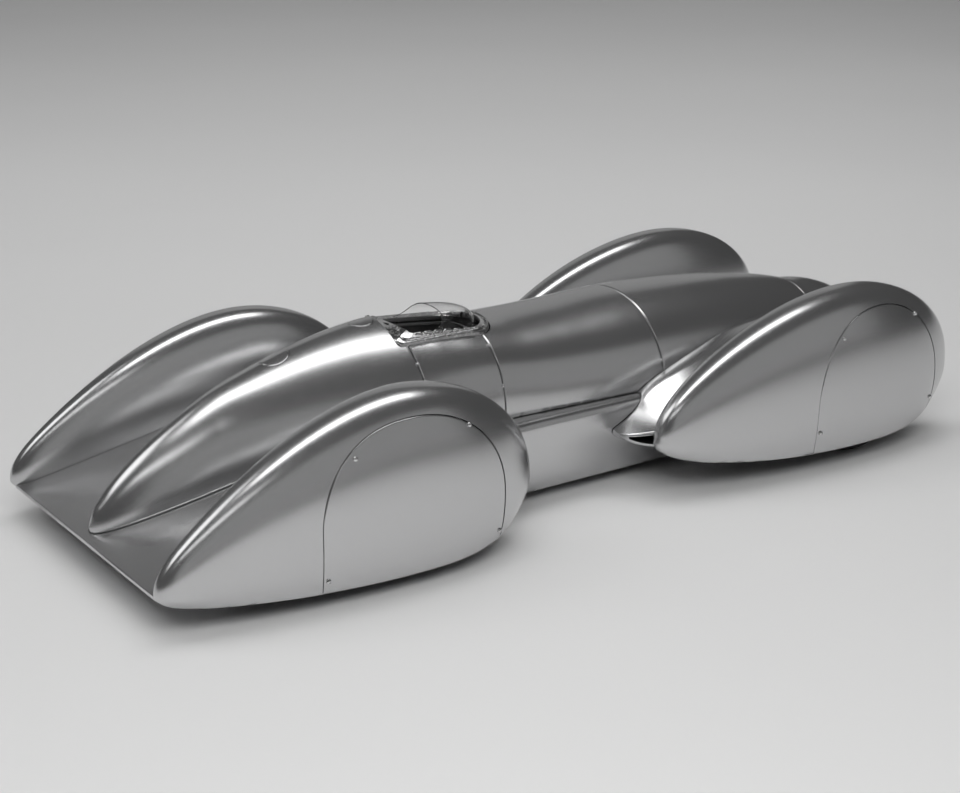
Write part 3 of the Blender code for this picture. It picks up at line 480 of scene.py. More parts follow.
def shade(ob, skins=(), angle=32, clean=True):
    """Smooth shading with creases; on cut panels the normals come from the uncut skins."""
    me = ob.data
    if clean:
        bm = bmesh.new()
        bm.from_mesh(me)
        bmesh.ops.remove_doubles(bm, verts=bm.verts, dist=1.5e-6)
        bmesh.ops.dissolve_degenerate(bm, edges=bm.edges, dist=1e-6)
        bm.to_mesh(me)
        bm.free()
    for p in me.polygons:
        p.use_smooth = True
    me.set_sharp_from_angle(angle=math.radians(angle))
    if skins:
        own = [Vector(c.vector) for c in me.corner_normals]
        out = list(own)
        for p in me.polygons:
            pn = p.normal.copy()
            for li in p.loop_indices:
                co = me.vertices[me.loops[li].vertex_index].co
                for s in skins:
                    n = s.normal(co, pn)
                    if n is not None:
                        out[li] = n
                        break
        me.normals_split_custom_set([tuple(n) for n in out])
    return ob


def lathe(name, centre, axis, profile, n, ring_shape=False, scale=MODULE):
    """Turn a profile of (radius, along) about an axis through centre."""
    c = Vector(P(*centre))
    d = Vector(axis).normalized()
    u = d.orthogonal().normalized()
    v = d.cross(u)
    verts, faces = [], []
    m = len(profile)
    for i in range(n):
        t = 2 * math.pi * i / n
        for r, h in profile:
            verts.append(tuple(c + scale * (max(r, 0.0) * (math.cos(t) * u + math.sin(t) * v) + h * d)))
    last = m if ring_shape else m - 1
    for i in range(n):
        k = (i + 1) % n
        for j in range(last):
            jj = (j + 1) % m
            faces.append((i * m + j, k * m + j, k * m + jj, i * m + jj))
    return mesh_object(name, verts, faces)


def bar(name, p0, p1, r, n=32):
    a, b = Vector(P(*p0)), Vector(P(*p1))
    d = (b - a).normalized()
    u = d.orthogonal().normalized()
    v = d.cross(u)
    rings = [[tuple(q + r * MODULE * (math.cos(2 * math.pi * i / n) * u + math.sin(2 * math.pi * i / n) * v))
              for i in range(n)] for q in (a, b)]
    return loft(name, rings)


def merge(name, obs):
    """One mesh out of several separate small solids."""
    bm = bmesh.new()
    for o in obs:
        bm.from_mesh(o.data)
    me = bpy.data.meshes.new(name)
    bm.to_mesh(me)
    bm.free()
    for o in obs:
        drop_object(o)
    return link(name, me)


def curve_through(points, n):
    """Catmull-Rom points through a run of 2-D points."""
    pts = [np.array(p, float) for p in points]
    pts = [2 * pts[0] - pts[1]] + pts + [2 * pts[-1] - pts[-2]]
    out = []
    for i in range(1, len(pts) - 2):
        p0, p1, p2, p3 = pts[i - 1:i + 3]
        for k in range(n):
            t = k / n
            out.append(tuple(float(q) for q in 0.5 * ((2 * p1) + (-p0 + p2) * t + (2 * p0 - 5 * p1 + 4 * p2 - p3) * t * t
                                    + (-p0 + 3 * p1 - 3 * p2 + p3) * t ** 3)))
    out.append(tuple(float(q) for q in pts[-2]))
    return out


def round_drop(d, r):
    """How far a panel edge of radius r has fallen at distance d from the edge."""
    return 0.0 if d >= r else r - math.sqrt(max(r * r - (r - d) ** 2, 0.0))


# ------------------------------------------------------------------ materials
def node(nt, kind, **inputs):
    n = nt.nodes.new(kind)
    for k, v in inputs.items():
        n.inputs[k].default_value = v
    return n


def principled(name, rgb, metallic, rough):
    m = bpy.data.materials.new(name)
    m.use_nodes = True
    nt = m.node_tree
    b = nt.nodes["Principled BSDF"]
    b.inputs["Base Color"].default_value = (*rgb, 1)
    b.inputs["Metallic"].default_value = metallic
    b.inputs["Roughness"].default_value = rough
    co = nt.nodes.new("ShaderNodeTexCoord")
    return m, nt, b, co.outputs["Object"]


def ramp(nt, src, stops):
    r = nt.nodes.new("ShaderNodeValToRGB")
    e = r.color_ramp.elements
    while len(e) < len(stops):
        e.new(0.5)
    for el, (pos, c) in zip(e, stops):
        el.position = pos
        el.color = (c, c, c, 1) if isinstance(c, float) else (*c, 1)
    nt.links.new(src, r.inputs["Fac"])
    return r.outputs["Color"]


def noise_tex(nt, vec, scale, detail=2.0, rough=0.5):
    n = node(nt, "ShaderNodeTexNoise", Scale=scale, Detail=detail, Roughness=rough)
    nt.links.new(vec, n.inputs["Vector"])
    return n.outputs["Fac"]


def span(nt, src, lo, hi, a=0.0, b=1.0):
    m = node(nt, "ShaderNodeMapRange")
    m.inputs["From Min"].default_value = a
    m.inputs["From Max"].default_value = b
    m.inputs["To Min"].default_value = lo
    m.inputs["To Max"].default_value = hi
    nt.links.new(src, m.inputs["Value"])
    return m.outputs["Result"]


def calc(nt, op, a, b):
    m = nt.nodes.new("ShaderNodeMath")
    m.operation = op
    for i, v in enumerate((a, b)):
        if isinstance(v, float):
            m.inputs[i].default_value = v
        else:
            nt.links.new(v, m.inputs[i])
    return m.outputs[0]


def bump(nt, b, height, strength, dist):
    n = node(nt, "ShaderNodeBump", Strength=strength, Distance=dist)
    nt.links.new(height, n.inputs["Height"])
    nt.links.new(n.outputs["Normal"], b.inputs["Normal"])
    return n


def silver_paint():
    """Satin lacquer over fine aluminium flake, a little uneven under the hand."""
    m, nt, b, vec = principled("silver_lacquer", (0.62, 0.62, 0.625), 0.95, 0.26)
    b.inputs["Coat Weight"].default_value = 0.22
    b.inputs["Coat Roughness"].default_value = 0.12
    b.inputs["Coat IOR"].default_value = 1.48
    flake = noise_tex(nt, vec, 5200.0, 1.0, 0.6)
    mottle = noise_tex(nt, vec, 55.0, 3.0, 0.55)
    v = calc(nt, "ADD", span(nt, flake, 0.56, 0.65, 0.25, 0.75), span(nt, mottle, -0.004, 0.004, 0.3, 0.7))
    comb = nt.nodes.new("ShaderNodeCombineColor")
    for k in ("Red", "Green"):
        nt.links.new(v, comb.inputs[k])
    nt.links.new(calc(nt, "MULTIPLY", v, 1.008), comb.inputs["Blue"])
    nt.links.new(comb.outputs[0], b.inputs["Base Color"])
    r = calc(nt, "ADD", span(nt, flake, 0.235, 0.265, 0.25, 0.75), span(nt, mottle, -0.006, 0.006, 0.3, 0.7))
    nt.links.new(r, b.inputs["Roughness"])
    bump(nt, b, flake, 0.012, 0.00002)
    return m


def bright_metal():
    m, nt, b, vec = principled("bright_nickel", (0.78, 0.78, 0.77), 1.0, 0.17)
    fine = noise_tex(nt, vec, 1600.0, 3.0, 0.6)
    wear = noise_tex(nt, vec, 260.0, 4.0, 0.65)
    nt.links.new(ramp(nt, wear, [(0.3, 0.60), (0.5, 0.78), (0.75, 0.84)]), b.inputs["Base Color"])
    nt.links.new(span(nt, fine, 0.12, 0.30, 0.3, 0.7), b.inputs["Roughness"])
    bump(nt, b, fine, 0.06, 0.00002)
    return m


def alloy():
    m, nt, b, vec = principled("turned_alloy", (0.50, 0.50, 0.51), 0.95, 0.34)
    w = node(nt, "ShaderNodeTexWave", Scale=900.0, Distortion=1.2, Detail=2.0)
    w.wave_type = "RINGS"
    w.rings_direction = "Y"
    nt.links.new(vec, w.inputs["Vector"])
    nt.links.new(span(nt, w.outputs["Fac"], 0.28, 0.42), b.inputs["Roughness"])
    nt.links.new(ramp(nt, noise_tex(nt, vec, 300.0, 3.0), [(0.3, 0.42), (0.7, 0.56)]), b.inputs["Base Color"])
    bump(nt, b, w.outputs["Fac"], 0.10, 0.00002)
    return m


def rubber():
    m, nt, b, vec = principled("tyre_black", (0.014, 0.014, 0.014), 0.0, 0.72)
    fine = noise_tex(nt, vec, 2400.0, 4.0, 0.6)
    dust = noise_tex(nt, vec, 130.0, 4.0, 0.6)
    nt.links.new(ramp(nt, dust, [(0.35, 0.010), (0.7, 0.024)]), b.inputs["Base Color"])
    nt.links.new(span(nt, dust, 0.62, 0.86, 0.3, 0.7), b.inputs["Roughness"])
    bump(nt, b, fine, 0.25, 0.00004)
    return m


def black_cast(name, tone, rough):
    m, nt, b, vec = principled(name, (tone, tone, tone), 0.0, rough)
    fine = noise_tex(nt, vec, 1900.0, 3.0, 0.55)
    broad = noise_tex(nt, vec, 90.0, 3.0, 0.55)
    nt.links.new(ramp(nt, broad, [(0.3, tone * 0.75), (0.7, tone * 1.35)]), b.inputs["Base Color"])
    nt.links.new(span(nt, fine, rough - 0.08, rough + 0.10, 0.3, 0.7), b.inputs["Roughness"])
    bump(nt, b, fine, 0.22, 0.00004)
    return m


def leather():
    m, nt, b, vec = principled("seat_hide", (0.05, 0.046, 0.042), 0.0, 0.55)
    v = node(nt, "ShaderNodeTexVoronoi", Scale=1900.0, Randomness=0.9)
    v.feature = "DISTANCE_TO_EDGE"
    nt.links.new(vec, v.inputs["Vector"])
    grain = span(nt, v.outputs["Distance"], 0.0, 1.0, 0.0, 0.22)
    worn = noise_tex(nt, vec, 240.0, 4.0, 0.6)
    nt.links.new(ramp(nt, worn, [(0.35, (0.030, 0.028, 0.026)), (0.7, (0.075, 0.069, 0.062))]), b.inputs["Base Color"])
    nt.links.new(span(nt, worn, 0.66, 0.42, 0.3, 0.7), b.inputs["Roughness"])
    bump(nt, b, grain, 0.4, 0.00006)
    return m


def clear():
    """Moulded clear sheet, thin, with a slightly uneven polish."""
    m, nt, b, vec = principled("clear_sheet", (0.97, 0.975, 0.975), 0.0, 0.03)
    b.inputs["Transmission Weight"].default_value = 1.0
    b.inputs["IOR"].default_value = 1.34
    worn = noise_tex(nt, vec, 500.0, 3.0, 0.6)
    nt.links.new(span(nt, worn, 0.02, 0.07, 0.35, 0.7), b.inputs["Roughness"])
    nt.links.new(ramp(nt, worn, [(0.3, 0.96), (0.7, 0.985)]), b.inputs["Base Color"])
    return m


SILVER = silver_paint()
BRIGHT = bright_metal()
ALLOY = alloy()
RUBBER = rubber()
CHASSIS = black_cast("chassis_black", 0.022, 0.55)
LINING = black_cast("lining_grey", 0.075, 0.60)
# near-black material used as painted shade on the walls inside the wing outlets
OUTLET_PAINTED_SHADE = black_cast("outlet_painted_shade_black", 0.006, 0.85)
WHEELRIM = black_cast("rim_black", 0.018, 0.32)
HIDE = leather()
CLEAR = clear()


def put(ob, body, mat, slot=None, *nodes):
    """Material, body and the CAD nodes that this piece stands for."""
    ob.data.materials.clear()
    ob.data.materials.append(mat)
    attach(ob, body)
    if nodes:
        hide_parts(*nodes)
    return ob


def reskin(name, mat):
    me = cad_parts[name].data
    if len(me.materials) == 0:
        me.materials.append(mat)
    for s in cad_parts[name].material_slots:
        s.material = mat


# --------------------------------------------------------------- hull surface
def hull_panel(name, x0, x1, nx, n, thick=SKIN, edge0=0.30, edge1=0.14, warp=None, lift=0.0):
    """Shell between two stations whose ends are rounded over like a pressed edge."""
    xs = []
    for i in range(nx + 1):
        t = i / nx
        if warp:
            t = warp(t)
        xs.append(x0 + (x1 - x0) * t)
    for e, s, x in ((edge0, 1, x0), (edge1, -1, x1)):
        if e:
            xs = [v for v in xs if abs(v - x) > e * 1.05 or v == x] + [x + s * e * q for q in (0.08, 0.28, 0.6, 1.0)]
    xs = sorted(set(round(v, 5) for v in xs))
    rings = []
    for x in xs:
        d = 0.0
        if edge0:
            d += round_drop(x - x0, edge0)
        if edge1:
            d += round_drop(x1 - x, edge1)
        outer = hull_arc(x, n, d - lift)
        half, crest, waist, expo = hull_station(x)
        th = min(thick, 0.55 * half, 0.45 * (crest - waist))
        inner = hull_arc(x, n, max(th, d + 0.02))
        rings.append([P(*p) for p in outer] + [P(*p) for p in inner[::-1]])
    return loft(name, rings)


def hull_solid(name, x0, x1, nx, n, grow, floor):
    rings = []
    for i in range(nx + 1):
        x = x0 + (x1 - x0) * i / nx
        arc = hull_arc(x, n, -grow)
        rings.append([P(*p) for p in arc] + [P(x, arc[-1][1], floor), P(x, arc[0][1], floor)])
    return loft(name, rings)


def fairing_solid(name, F, nx, n_up, n_dn, grow=0.0, x0=None, x1=None, drop=None):
    a = F["tail"] - grow if x0 is None else x0
    b = F["nose"] + grow if x1 is None else x1
    rings = []
    for i in range(nx + 1):
        t = 0.5 - 0.5 * math.cos(math.pi * i / nx)
        t = 0.86 * t + 0.14 * i / nx
        x = a + (b - a) * t
        xe = min(max(x, F["tail"] + 0.012), F["nose"] - 0.008)
        rings.append([P(x, y, z) for _, y, z in fairing_ring(F, xe, n_up, n_dn, grow, drop)])
    return loft(name, rings)


# ------------------------------------------------------------- wheel fairings
def cover_panel(name, F, cover, side):
    """Panel over the wheel, rounded over at its edge, on the fairing's outer surface."""
    xc, half, crown = cover
    a, b = half - GAP, crown - COVER_SHOULDER - GAP
    edge = []
    for i in range(36):
        x = xc + a - 2 * a * i / 36
        edge.append((x, fairing_station(F, x)[4] + 0.03))
    z0 = fairing_station(F, xc - a)[4] + 0.03
    for i in range(16):
        edge.append((xc - a, z0 + (COVER_SHOULDER - z0) * i / 16))
    for i in range(96):
        t = math.pi - math.pi * i / 96
        edge.append((xc + a * math.copysign(abs(math.cos(t)) ** (2 / 2.15), math.cos(t)),
                     COVER_SHOULDER + b * max(math.sin(t), 0.0) ** (2 / 2.15)))
    z1 = fairing_station(F, xc + a)[4] + 0.03
    for i in range(16):
        edge.append((xc + a, COVER_SHOULDER + (z1 - COVER_SHOULDER) * i / 16))
    cz = 15.0
    r = 0.17
    qs = (0.0, 0.0012, 0.0035, 0.0075, 0.012, 0.02, 0.035, 0.06, 0.10, 0.15, 0.21, 0.28, 0.36, 0.45, 0.54, 0.63, 0.72,
          0.81, 0.9, 0.96)
    verts, faces = [], []
    n = len(edge)
    for q in qs:
        for x, z in edge:
            d = q * math.hypot(x - xc, z - cz)
            xx, zz = xc + (x - xc) * (1 - q), cz + (z - cz) * (1 - q)
            verts.append(P(xx, side * (fairing_face_y(F, xx, zz) - round_drop(d, r)), zz))
    verts.append(P(xc, side * fairing_face_y(F, xc, cz), cz))
    for i in range(len(qs) - 1):
        for j in range(n):
            k = (j + 1) % n
            faces.append((i * n + j, i * n + k, (i + 1) * n + k, (i + 1) * n + j))
    c = len(qs) * n
    for j in range(n):
        faces.append(((len(qs) - 1) * n + j, (len(qs) - 1) * n + (j + 1) % n, c))
    base = len(verts)
    back = (0.0, 0.05, 0.3, 0.6, 0.9)
    for q in back:
        for x, z in edge:
            xx, zz = xc + (x - xc) * (1 - q), cz + (z - cz) * (1 - q)
            verts.append(P(xx, side * (fairing_face_y(F, xx, zz) - 0.85), zz))
    verts.append(P(xc, side * (fairing_face_y(F, xc, cz) - 0.85), cz))
    for i in range(len(back) - 1):
        for j in range(n):
            k = (j + 1) % n
            faces.append((base + i * n + k, base + i * n + j, base + (i + 1) * n + j, base + (i + 1) * n + k))
    for j in range(n):
        k = (j + 1) % n
        faces.append((base + (len(back) - 1) * n + k, base + (len(back) - 1) * n + j, len(verts) - 1))
        faces.append((j, base + j, base + k, k))
    ob = mesh_object(name, verts, faces)
    return shade(ob, angle=50, clean=False)


def fairing(tag, F, cover, axle):
    solid = fairing_solid("solid", F, 120, 36, 14)
    skin = Skin(solid)
    cavity = fairing_solid("cavity", F, 56, 22, 8, grow=-SKIN, x0=F["tail"] + 11.0, x1=cover[0] + cover[1] + 1.4,
                           drop=-3.0)
    inner = Skin(cavity)
    boolean(solid, cavity, "DIFFERENCE")
    band_lo, band_hi = F["yc"] + 1.5, F["yc"] + 16
    boolean(solid, prism("hole", cover_outline(cover, 0.0, 90), band_lo, band_hi, "y"), "DIFFERENCE")
    boolean(solid, bar("b", (axle, 15, TYRE_R), (axle, 26, TYRE_R), AXLE_R + 0.8, 48), "DIFFERENCE")
    for side, word in ((1, "left"), (-1, "right")):
        if side > 0:
            ob = clone(solid, "fairing_shell_%s_left" % tag)
            shade(ob, (skin, inner), 32)
        else:
            ob = mirror_y(solid, "fairing_shell_%s_right" % tag)
            m1 = mirror_y(mirror_src[tag], "m")
            m2 = mirror_y(mirror_in[tag], "m")
            shade(ob, (Skin(m1), Skin(m2)), 32)
            drop_object(m1)
            drop_object(m2)
        put(ob, "car_body", SILVER, "silver_paint", "fairing_%s_%s" % (tag, word))
        cp = cover_panel("cover_panel_%s_%s" % (tag, word), F, cover, side)
        put(cp, "car_body", SILVER, "silver_paint", "wheel_cover_%s_%s" % (tag, word))
    drop_object(solid)


mirror_src, mirror_in = {}, {}
for tag, F, cover, axle in (("rear", FAIR_REAR, COVER_REAR, AXLE_REAR), ("front", FAIR_FRONT, COVER_FRONT, AXLE_FRONT)):
    mirror_src[tag] = fairing_solid("src_" + tag, F, 120, 36, 14)
    mirror_in[tag] = fairing_solid("srcin_" + tag, F, 56, 22, 8, grow=-SKIN, x0=F["tail"] + 11.0,
                                   x1=cover[0] + cover[1] + 1.4, drop=-3.0)
    fairing(tag, F, cover, axle)
    drop_object(mirror_src[tag])
    drop_object(mirror_in[tag])

# ------------------------------------------------------------------ the hull
outer_line = rim_outline(RIM_X0, RIM_X1, RIM_HALF, 0.9, 6.0, 24)
grown_line = rim_outline(RIM_X0 - GAP, RIM_X1 + GAP, RIM_HALF + GAP, 0.9, 6.0, 24)
inner_line = rim_outline(HOLE_X0, HOLE_X1, HOLE_HALF, 1.1, 6.2, 24)
CAPS = (("filler_cap_rear", "rear_filler_lid", 37.4, 2.55), ("filler_cap_front", "front_filler_lid", 54.9, 2.25))

spine = hull_panel("spine_skin", SPINE_TIP + 0.02, SEAM_1 - GAP / 2, 150, 96, edge0=0, warp=lambda t: t ** 1.6)
spine_skin = Skin(spine)
boolean(spine, prism("cut", grown_line, 22, 45, "z"), "DIFFERENCE")
for name, lid, cx, cr in CAPS:
    ring = [(cx + (cr + 0.12) * math.cos(2 * math.pi * i / 72), (cr + 0.12) * math.sin(2 * math.pi * i / 72))
            for i in range(72)]
    boolean(spine, prism("cut", ring, 22, 45, "z"), "DIFFERENCE")
shade(spine, (spine_skin,))
put(spine, "car_body", SILVER, "silver_paint", "tail_spine")

for name, lid, cx, cr in CAPS:
    # round lid that follows the crest, its edge rolled over
    verts, faces = [], []
    nr = 72
    rad = [cr, cr, cr - 0.012, cr - 0.05, cr - 0.10, cr - 0.17, cr * 0.8, cr * 0.55, cr * 0.3]
    for k, q in enumerate(rad):
        for i in range(nr):
            a = 2 * math.pi * i / nr
            x, y = cx + q * math.cos(a), q * math.sin(a)
            z = hull_z(x, y) + 0.10 - round_drop(cr - q, 0.17)
            if k == 0:
                z = hull_z(x, y) - 0.75
            verts.append(P(x, y, z))
    verts.append(P(cx, 0, hull_z(cx, 0) + 0.10))
    verts.append(P(cx, 0, hull_z(cx, 0) - 0.75))
    for k in range(len(rad) - 1):
        for i in range(nr):
            j = (i + 1) % nr
            faces.append((k * nr + i, k * nr + j, (k + 1) * nr + j, (k + 1) * nr + i))
    for i in range(nr):
        j = (i + 1) % nr
        faces.append(((len(rad) - 1) * nr + i, (len(rad) - 1) * nr + j, len(verts) - 2))
        faces.append((j, i, len(verts) - 1))
    cap = shade(mesh_object("lid_" + name, verts, faces), angle=50, clean=False)
    put(cap, lid, SILVER, "silver_paint", name)

def bead(name, line, r, body="car_body", mat=None, n=10):
    """Thin round bead along a line of points."""
    pts = [Vector(P(*p)) for p in line]
    rings = []
    for i, q in enumerate(pts):
        t = (pts[min(i + 1, len(pts) - 1)] - pts[max(i - 1, 0)]).normalized()
        a = t.cross(Vector((0, 0, 1))).normalized()
        b = a.cross(t)
        f = 0.35 if i in (0, len(pts) - 1) else 1.0
        rings.append([tuple(q + r * f * MODULE * (math.cos(2 * math.pi * k / n) * a + math.sin(2 * math.pi * k / n) * b))
                      for k in range(n)])
    ob = shade(loft(name, rings), angle=60)
    return put(ob, body, mat or SILVER, "silver_paint")


# raised edge where the spine stands on the tail deck
for side, word in ((1, "left"), (-1, "right")):
    line = []
    for i in range(120):
        x = SPINE_TIP + 0.15 + (57.5 - SPINE_TIP) * (i / 119) ** 1.4
        half, crest, waist, expo = hull_station(x)
        line.append((x, side * (half + 0.05), waist + 0.06))
    bead("spine_foot_" + word, line, 0.16)

hood = hull_panel("hood_a", SEAM_1 + GAP / 2, SEAM_2 - GAP / 2, 44, 128)
hood_skin = Skin(hood)
boolean(hood, prism("cut", grown_line, 22, 45, "z"), "DIFFERENCE")
for side, word in ((1, "left"), (-1, "right")):
    half = clone(hood, "hood_side_" + word)
    lo, hi = (0, 30) if side < 0 else (-30, 0)
    boolean(half, prism("c", [(SEAM_1 - 2, lo), (SEAM_2 + 2, lo), (SEAM_2 + 2, hi), (SEAM_1 - 2, hi)], 5, 45, "z"),
            "DIFFERENCE")
    shade(half, (hood_skin,))
    put(half, "car_body", SILVER, "silver_paint", "cockpit_side_" + word)
drop_object(hood)

bonnet = hull_panel("bonnet_skin", SEAM_2 + GAP / 2, SEAM_3 - GAP / 2, 76, 112)
skin = Skin(bonnet)
boolean(bonnet, prism("cut", grown_line, 22, 45, "z"), "DIFFERENCE")
shade(bonnet, (skin,))
put(bonnet, "car_body", SILVER, "silver_paint", "bonnet")
bonnet2 = shade(hull_panel("front_bonnet_skin", SEAM_3 + GAP / 2, SEAM_N - GAP / 2, 96, 112), angle=50)
put(bonnet2, "car_body", SILVER, "silver_paint", "front_bonnet")

# nose: upper and lower half in one, closed and rounded at the front
rings = []
nx, n = 70, 96
x0n = SEAM_N + GAP / 2
for q in (0.0, 0.02, 0.07, 0.16):
    pass
stations = sorted([x0n + (NOSE_END - 0.004 - x0n) * math.sin(math.pi / 2 * i / nx) for i in range(nx + 1)]
                  + [x0n + q for q in (0.012, 0.045, 0.10, 0.16)])
for x in stations:
    d = round_drop(x - x0n, 0.16)
    up = hull_arc(x, n, d)
    half, crest, waist, expo = hull_station(x)
    half = max(half - d, 0.03)
    s = (x - SEAM_N) / (NOSE_END - SEAM_N)
    keel = waist - (waist - 3.8) * max(1 - s ** 1.9, 0.0) ** 0.55
    low = []
    for j in range(1, n):
        a = math.pi * j / n
        c, sn = math.cos(a), math.sin(a)
        low.append((x, -half * math.copysign(abs(c) ** (2 / 2.5), c), waist - (waist - keel) * abs(sn) ** (2 / 2.5)))
    rings.append([P(*p) for p in up + low])
nose = shade(loft("nose_skin", rings), angle=50)
put(nose, "car_body", SILVER, "silver_paint", "nose_cone")


# ------------------------------------------------------ lower body and wings
def lower_fine(x, grow=0.0):
    """Section of the lower body with its ledge and tucked side rounded finely."""
    half, top, bot = lower_station(x)
    half += grow
    top += grow
    bot -= grow
    k = smoothstep(56.0, 74.0, x)
    h = top - bot
    foot = half * (1 - 0.125 * k)
    r = (0.15 + 1.7 * k) * min(1.0, h / 6.0)
    right = [(0.0, bot), (foot * 0.3, bot), (foot * 0.55, bot), (foot * 0.8, bot), (foot - 0.3, bot), (foot - 0.05, bot + 0.06)]
    for i in range(1, 11):
        u = i / 11
        right.append((foot + (half - foot) * (1 - (1 - u) ** 2.0), bot + (h - r) * u))
    for i in range(13):
        a = math.pi / 2 * i / 12
        right.append((half - r * 0.85 + r * 0.85 * math.cos(a), top - r + r * math.sin(a)))
    for q in (0.85, 0.7, 0.45, 0.2):
        right.append((half * q, top))
    right.append((0.0, top))
    left = [(-y, z) for y, z in right[1:-1]]
    return [(x, y, z) for y, z in right + left[::-1]]


xs = [0.0, 0.15, 0.4, 0.8, 1.4, 2.2, 3.2] + [4.5 + 1.25 * i for i in range(124)]
xs = [x for x in xs if x < SEAM_N - 0.5] + [SEAM_N - GAP / 2]
lower = loft("lower_skin", [[P(*p) for p in lower_fine(x)] for x in xs])
lskin = Skin(shade(clone(lower, "tmp"), angle=32))
drop_object(bpy.data.objects["tmp"])
for side in (1, -1):
    c = fairing_solid("c", FAIR_REAR, 90, 26, 6, grow=GAP * 0.8, drop=-3.0)
    if side < 0:
        m = mirror_y(c, "cm")
        drop_object(c)
        c = m
    boolean(lower, c, "DIFFERENCE")
well = []
for i in range(41):
    x = 24.0 + 131.0 * i / 40
    half, top, bot = lower_station(x)
    w = min(hull_station(x)[0] - 1.6, half * 0.86)
    well.append([P(x, y, z) for y, z in ((-w, -2), (w, -2), (w, 30), (-w, 30))])
boolean(lower, loft("well", well), "DIFFERENCE")
for ax in (AXLE_REAR, AXLE_FRONT):
    boolean(lower, bar("b", (ax, -34, TYRE_R), (ax, 34, TYRE_R), AXLE_R + 0.8, 48), "DIFFERENCE")
shade(lower, (lskin,), 32)
put(lower, "car_body", SILVER, "silver_paint", "lower_body")


def wing_ring(x):
    yi, yo, zi, zo, zb = wing_levels(x)
    h = zo - zb
    k = min(1.0, h / 4.0)
    span = yo - 19.6
    bottom = curve_through([(yi, zb - 1.2 * k), (0.5 * (yi + yo), zb - 0.9 * k), (yo - 0.5 * k, zb)], 6)
    side = curve_through([(yo - 0.5 * k, zb), (yo, zb + 0.3 * h), (yo, zb + 0.72 * h), (yo - 0.10, zb + 0.9 * h),
                          (yo - 0.4, zo)], 6)
    top = [(yo - q * span, wing_top(x, yo - q * span)) for q in
           (0.0, 0.05, 0.11, 0.18, 0.26, 0.35, 0.45, 0.55, 0.65, 0.75, 0.85, 0.93)]
    top[0] = (yo - 0.4, zo)
    top = [top[0]] + [p for p in top[1:] if p[0] < yo - 0.62]
    need = 12 - len(top)
    top = top[:1] + [(top[0][0] + (top[1][0] - top[0][0]) * (i + 1) / (need + 1), top[0][1] + (top[1][1] - top[0][1]) * (i + 1) / (need + 1))
                     for i in range(need)] + top[1:]
    top += [(19.6, zi), (0.5 * (19.6 + yi), zi + 0.05), (yi, zi + 0.1)]
    return [P(x, y, z) for y, z in bottom[:-1] + side[:-1] + top]


def paint_outlet_shade(ob, skin):
    """Painted shade: the cut walls of the outlet behind the lip get a near-black material that stands in for the shade
    inside the recess.
    """
    me = ob.data
    me.materials.append(OUTLET_PAINTED_SHADE)
    lo, hi = P(98.2, 0, 8.0), P(110.2, 0, 14.0)
    for p in me.polygons:
        c = p.center
        if lo[0] < c.x < hi[0] and lo[2] < c.z < hi[2] and skin.normal(c, p.normal) is None:
            p.material_index = 1


xs = [97.4 + 0.02, 97.5, 97.65, 97.85, 98.1] + [98.4 + 0.3 * i for i in range(30)] + [107.5 + 1.1 * i for i in range(54)]
xs = [x for x in xs if x < 166.5] + [166.8]
wing = loft("wing_skin_left", [wing_ring(x) for x in xs])
wskin = Skin(shade(clone(wing, "tmp"), angle=30))
drop_object(bpy.data.objects["tmp"])
boolean(wing, hull_solid("c", 91.3, 169.1, 64, 96, GAP, 9.0), "DIFFERENCE")
boolean(wing, loft("c", [[P(*p) for p in lower_fine(x, GAP)] for x in (60, 68, 76, 84, 92, 100, 108, 116, 122, 126, 130, 134,
                                                                   138, 142, 146, 149, 152, 155, 158.4, 168.0)]),
        "DIFFERENCE")
boolean(wing, fairing_solid("c", FAIR_FRONT, 90, 26, 6, grow=GAP, drop=-3.0), "DIFFERENCE")
slot_cut = []
for i in range(49):
    x = 98.3 + 11.7 * (i / 48) ** 1.5
    yi, yo, zi, zo, zb = wing_levels(x)
    mid, half = 0.5 * (zo + zb) - 0.02, max((0.5 * (zo - zb) - 0.5) * (1.0 if x < 106 else (110.6 - x) / 4.6), 0.08)
    y_in = max(yo - 4.5, 20.7)
    slot_cut.append([P(x, y, z) for y, z in ((y_in, mid - 0.6 * half), (y_in, mid + 0.6 * half), (yo - 1.0, mid + half),
                                             (yo + 3.0, mid + half), (yo + 3.0, mid - half), (yo - 1.0, mid - half))])
slot_cut = loft("slot", slot_cut)
boolean(wing, slot_cut, "DIFFERENCE")
boolean(wing, bar("b", (AXLE_FRONT, 10, TYRE_R), (AXLE_FRONT, 34, TYRE_R), AXLE_R + 0.8, 48), "DIFFERENCE")
wing_r = mirror_y(wing, "wing_skin_right")
shade(wing, (wskin,), 30)
put(wing, "car_body", SILVER, "silver_paint", "wing_left")
paint_outlet_shade(wing, wskin)
full = loft("tmp", [wing_ring(x) for x in xs])
fm = mirror_y(full, "tmp2")
shade(fm, angle=30)
rskin = Skin(fm)
shade(wing_r, (rskin,), 30)
drop_object(full)
drop_object(fm)
put(wing_r, "car_body", SILVER, "silver_paint", "wing_right")
paint_outlet_shade(wing_r, rskin)

# ------------------------------------------------------------ cockpit surround
def rim_height(x, y, t):
    """Lift of the surround above the hull across its width, outer edge to inner edge."""
    w = smoothstep(58.6, 60.4, x)
    edge = 0.42 * (1 - math.exp(-(t / 0.035))) - 0.42
    bead = 0.16 * math.exp(-((t - 0.15) / 0.085) ** 2)
    groove = -0.45 * math.exp(-((t - 0.36) / 0.075) ** 2)
    inner = -0.30 * smoothstep(0.93, 1.0, t)
    return 0.30 + edge + w * (bead + groove) + inner


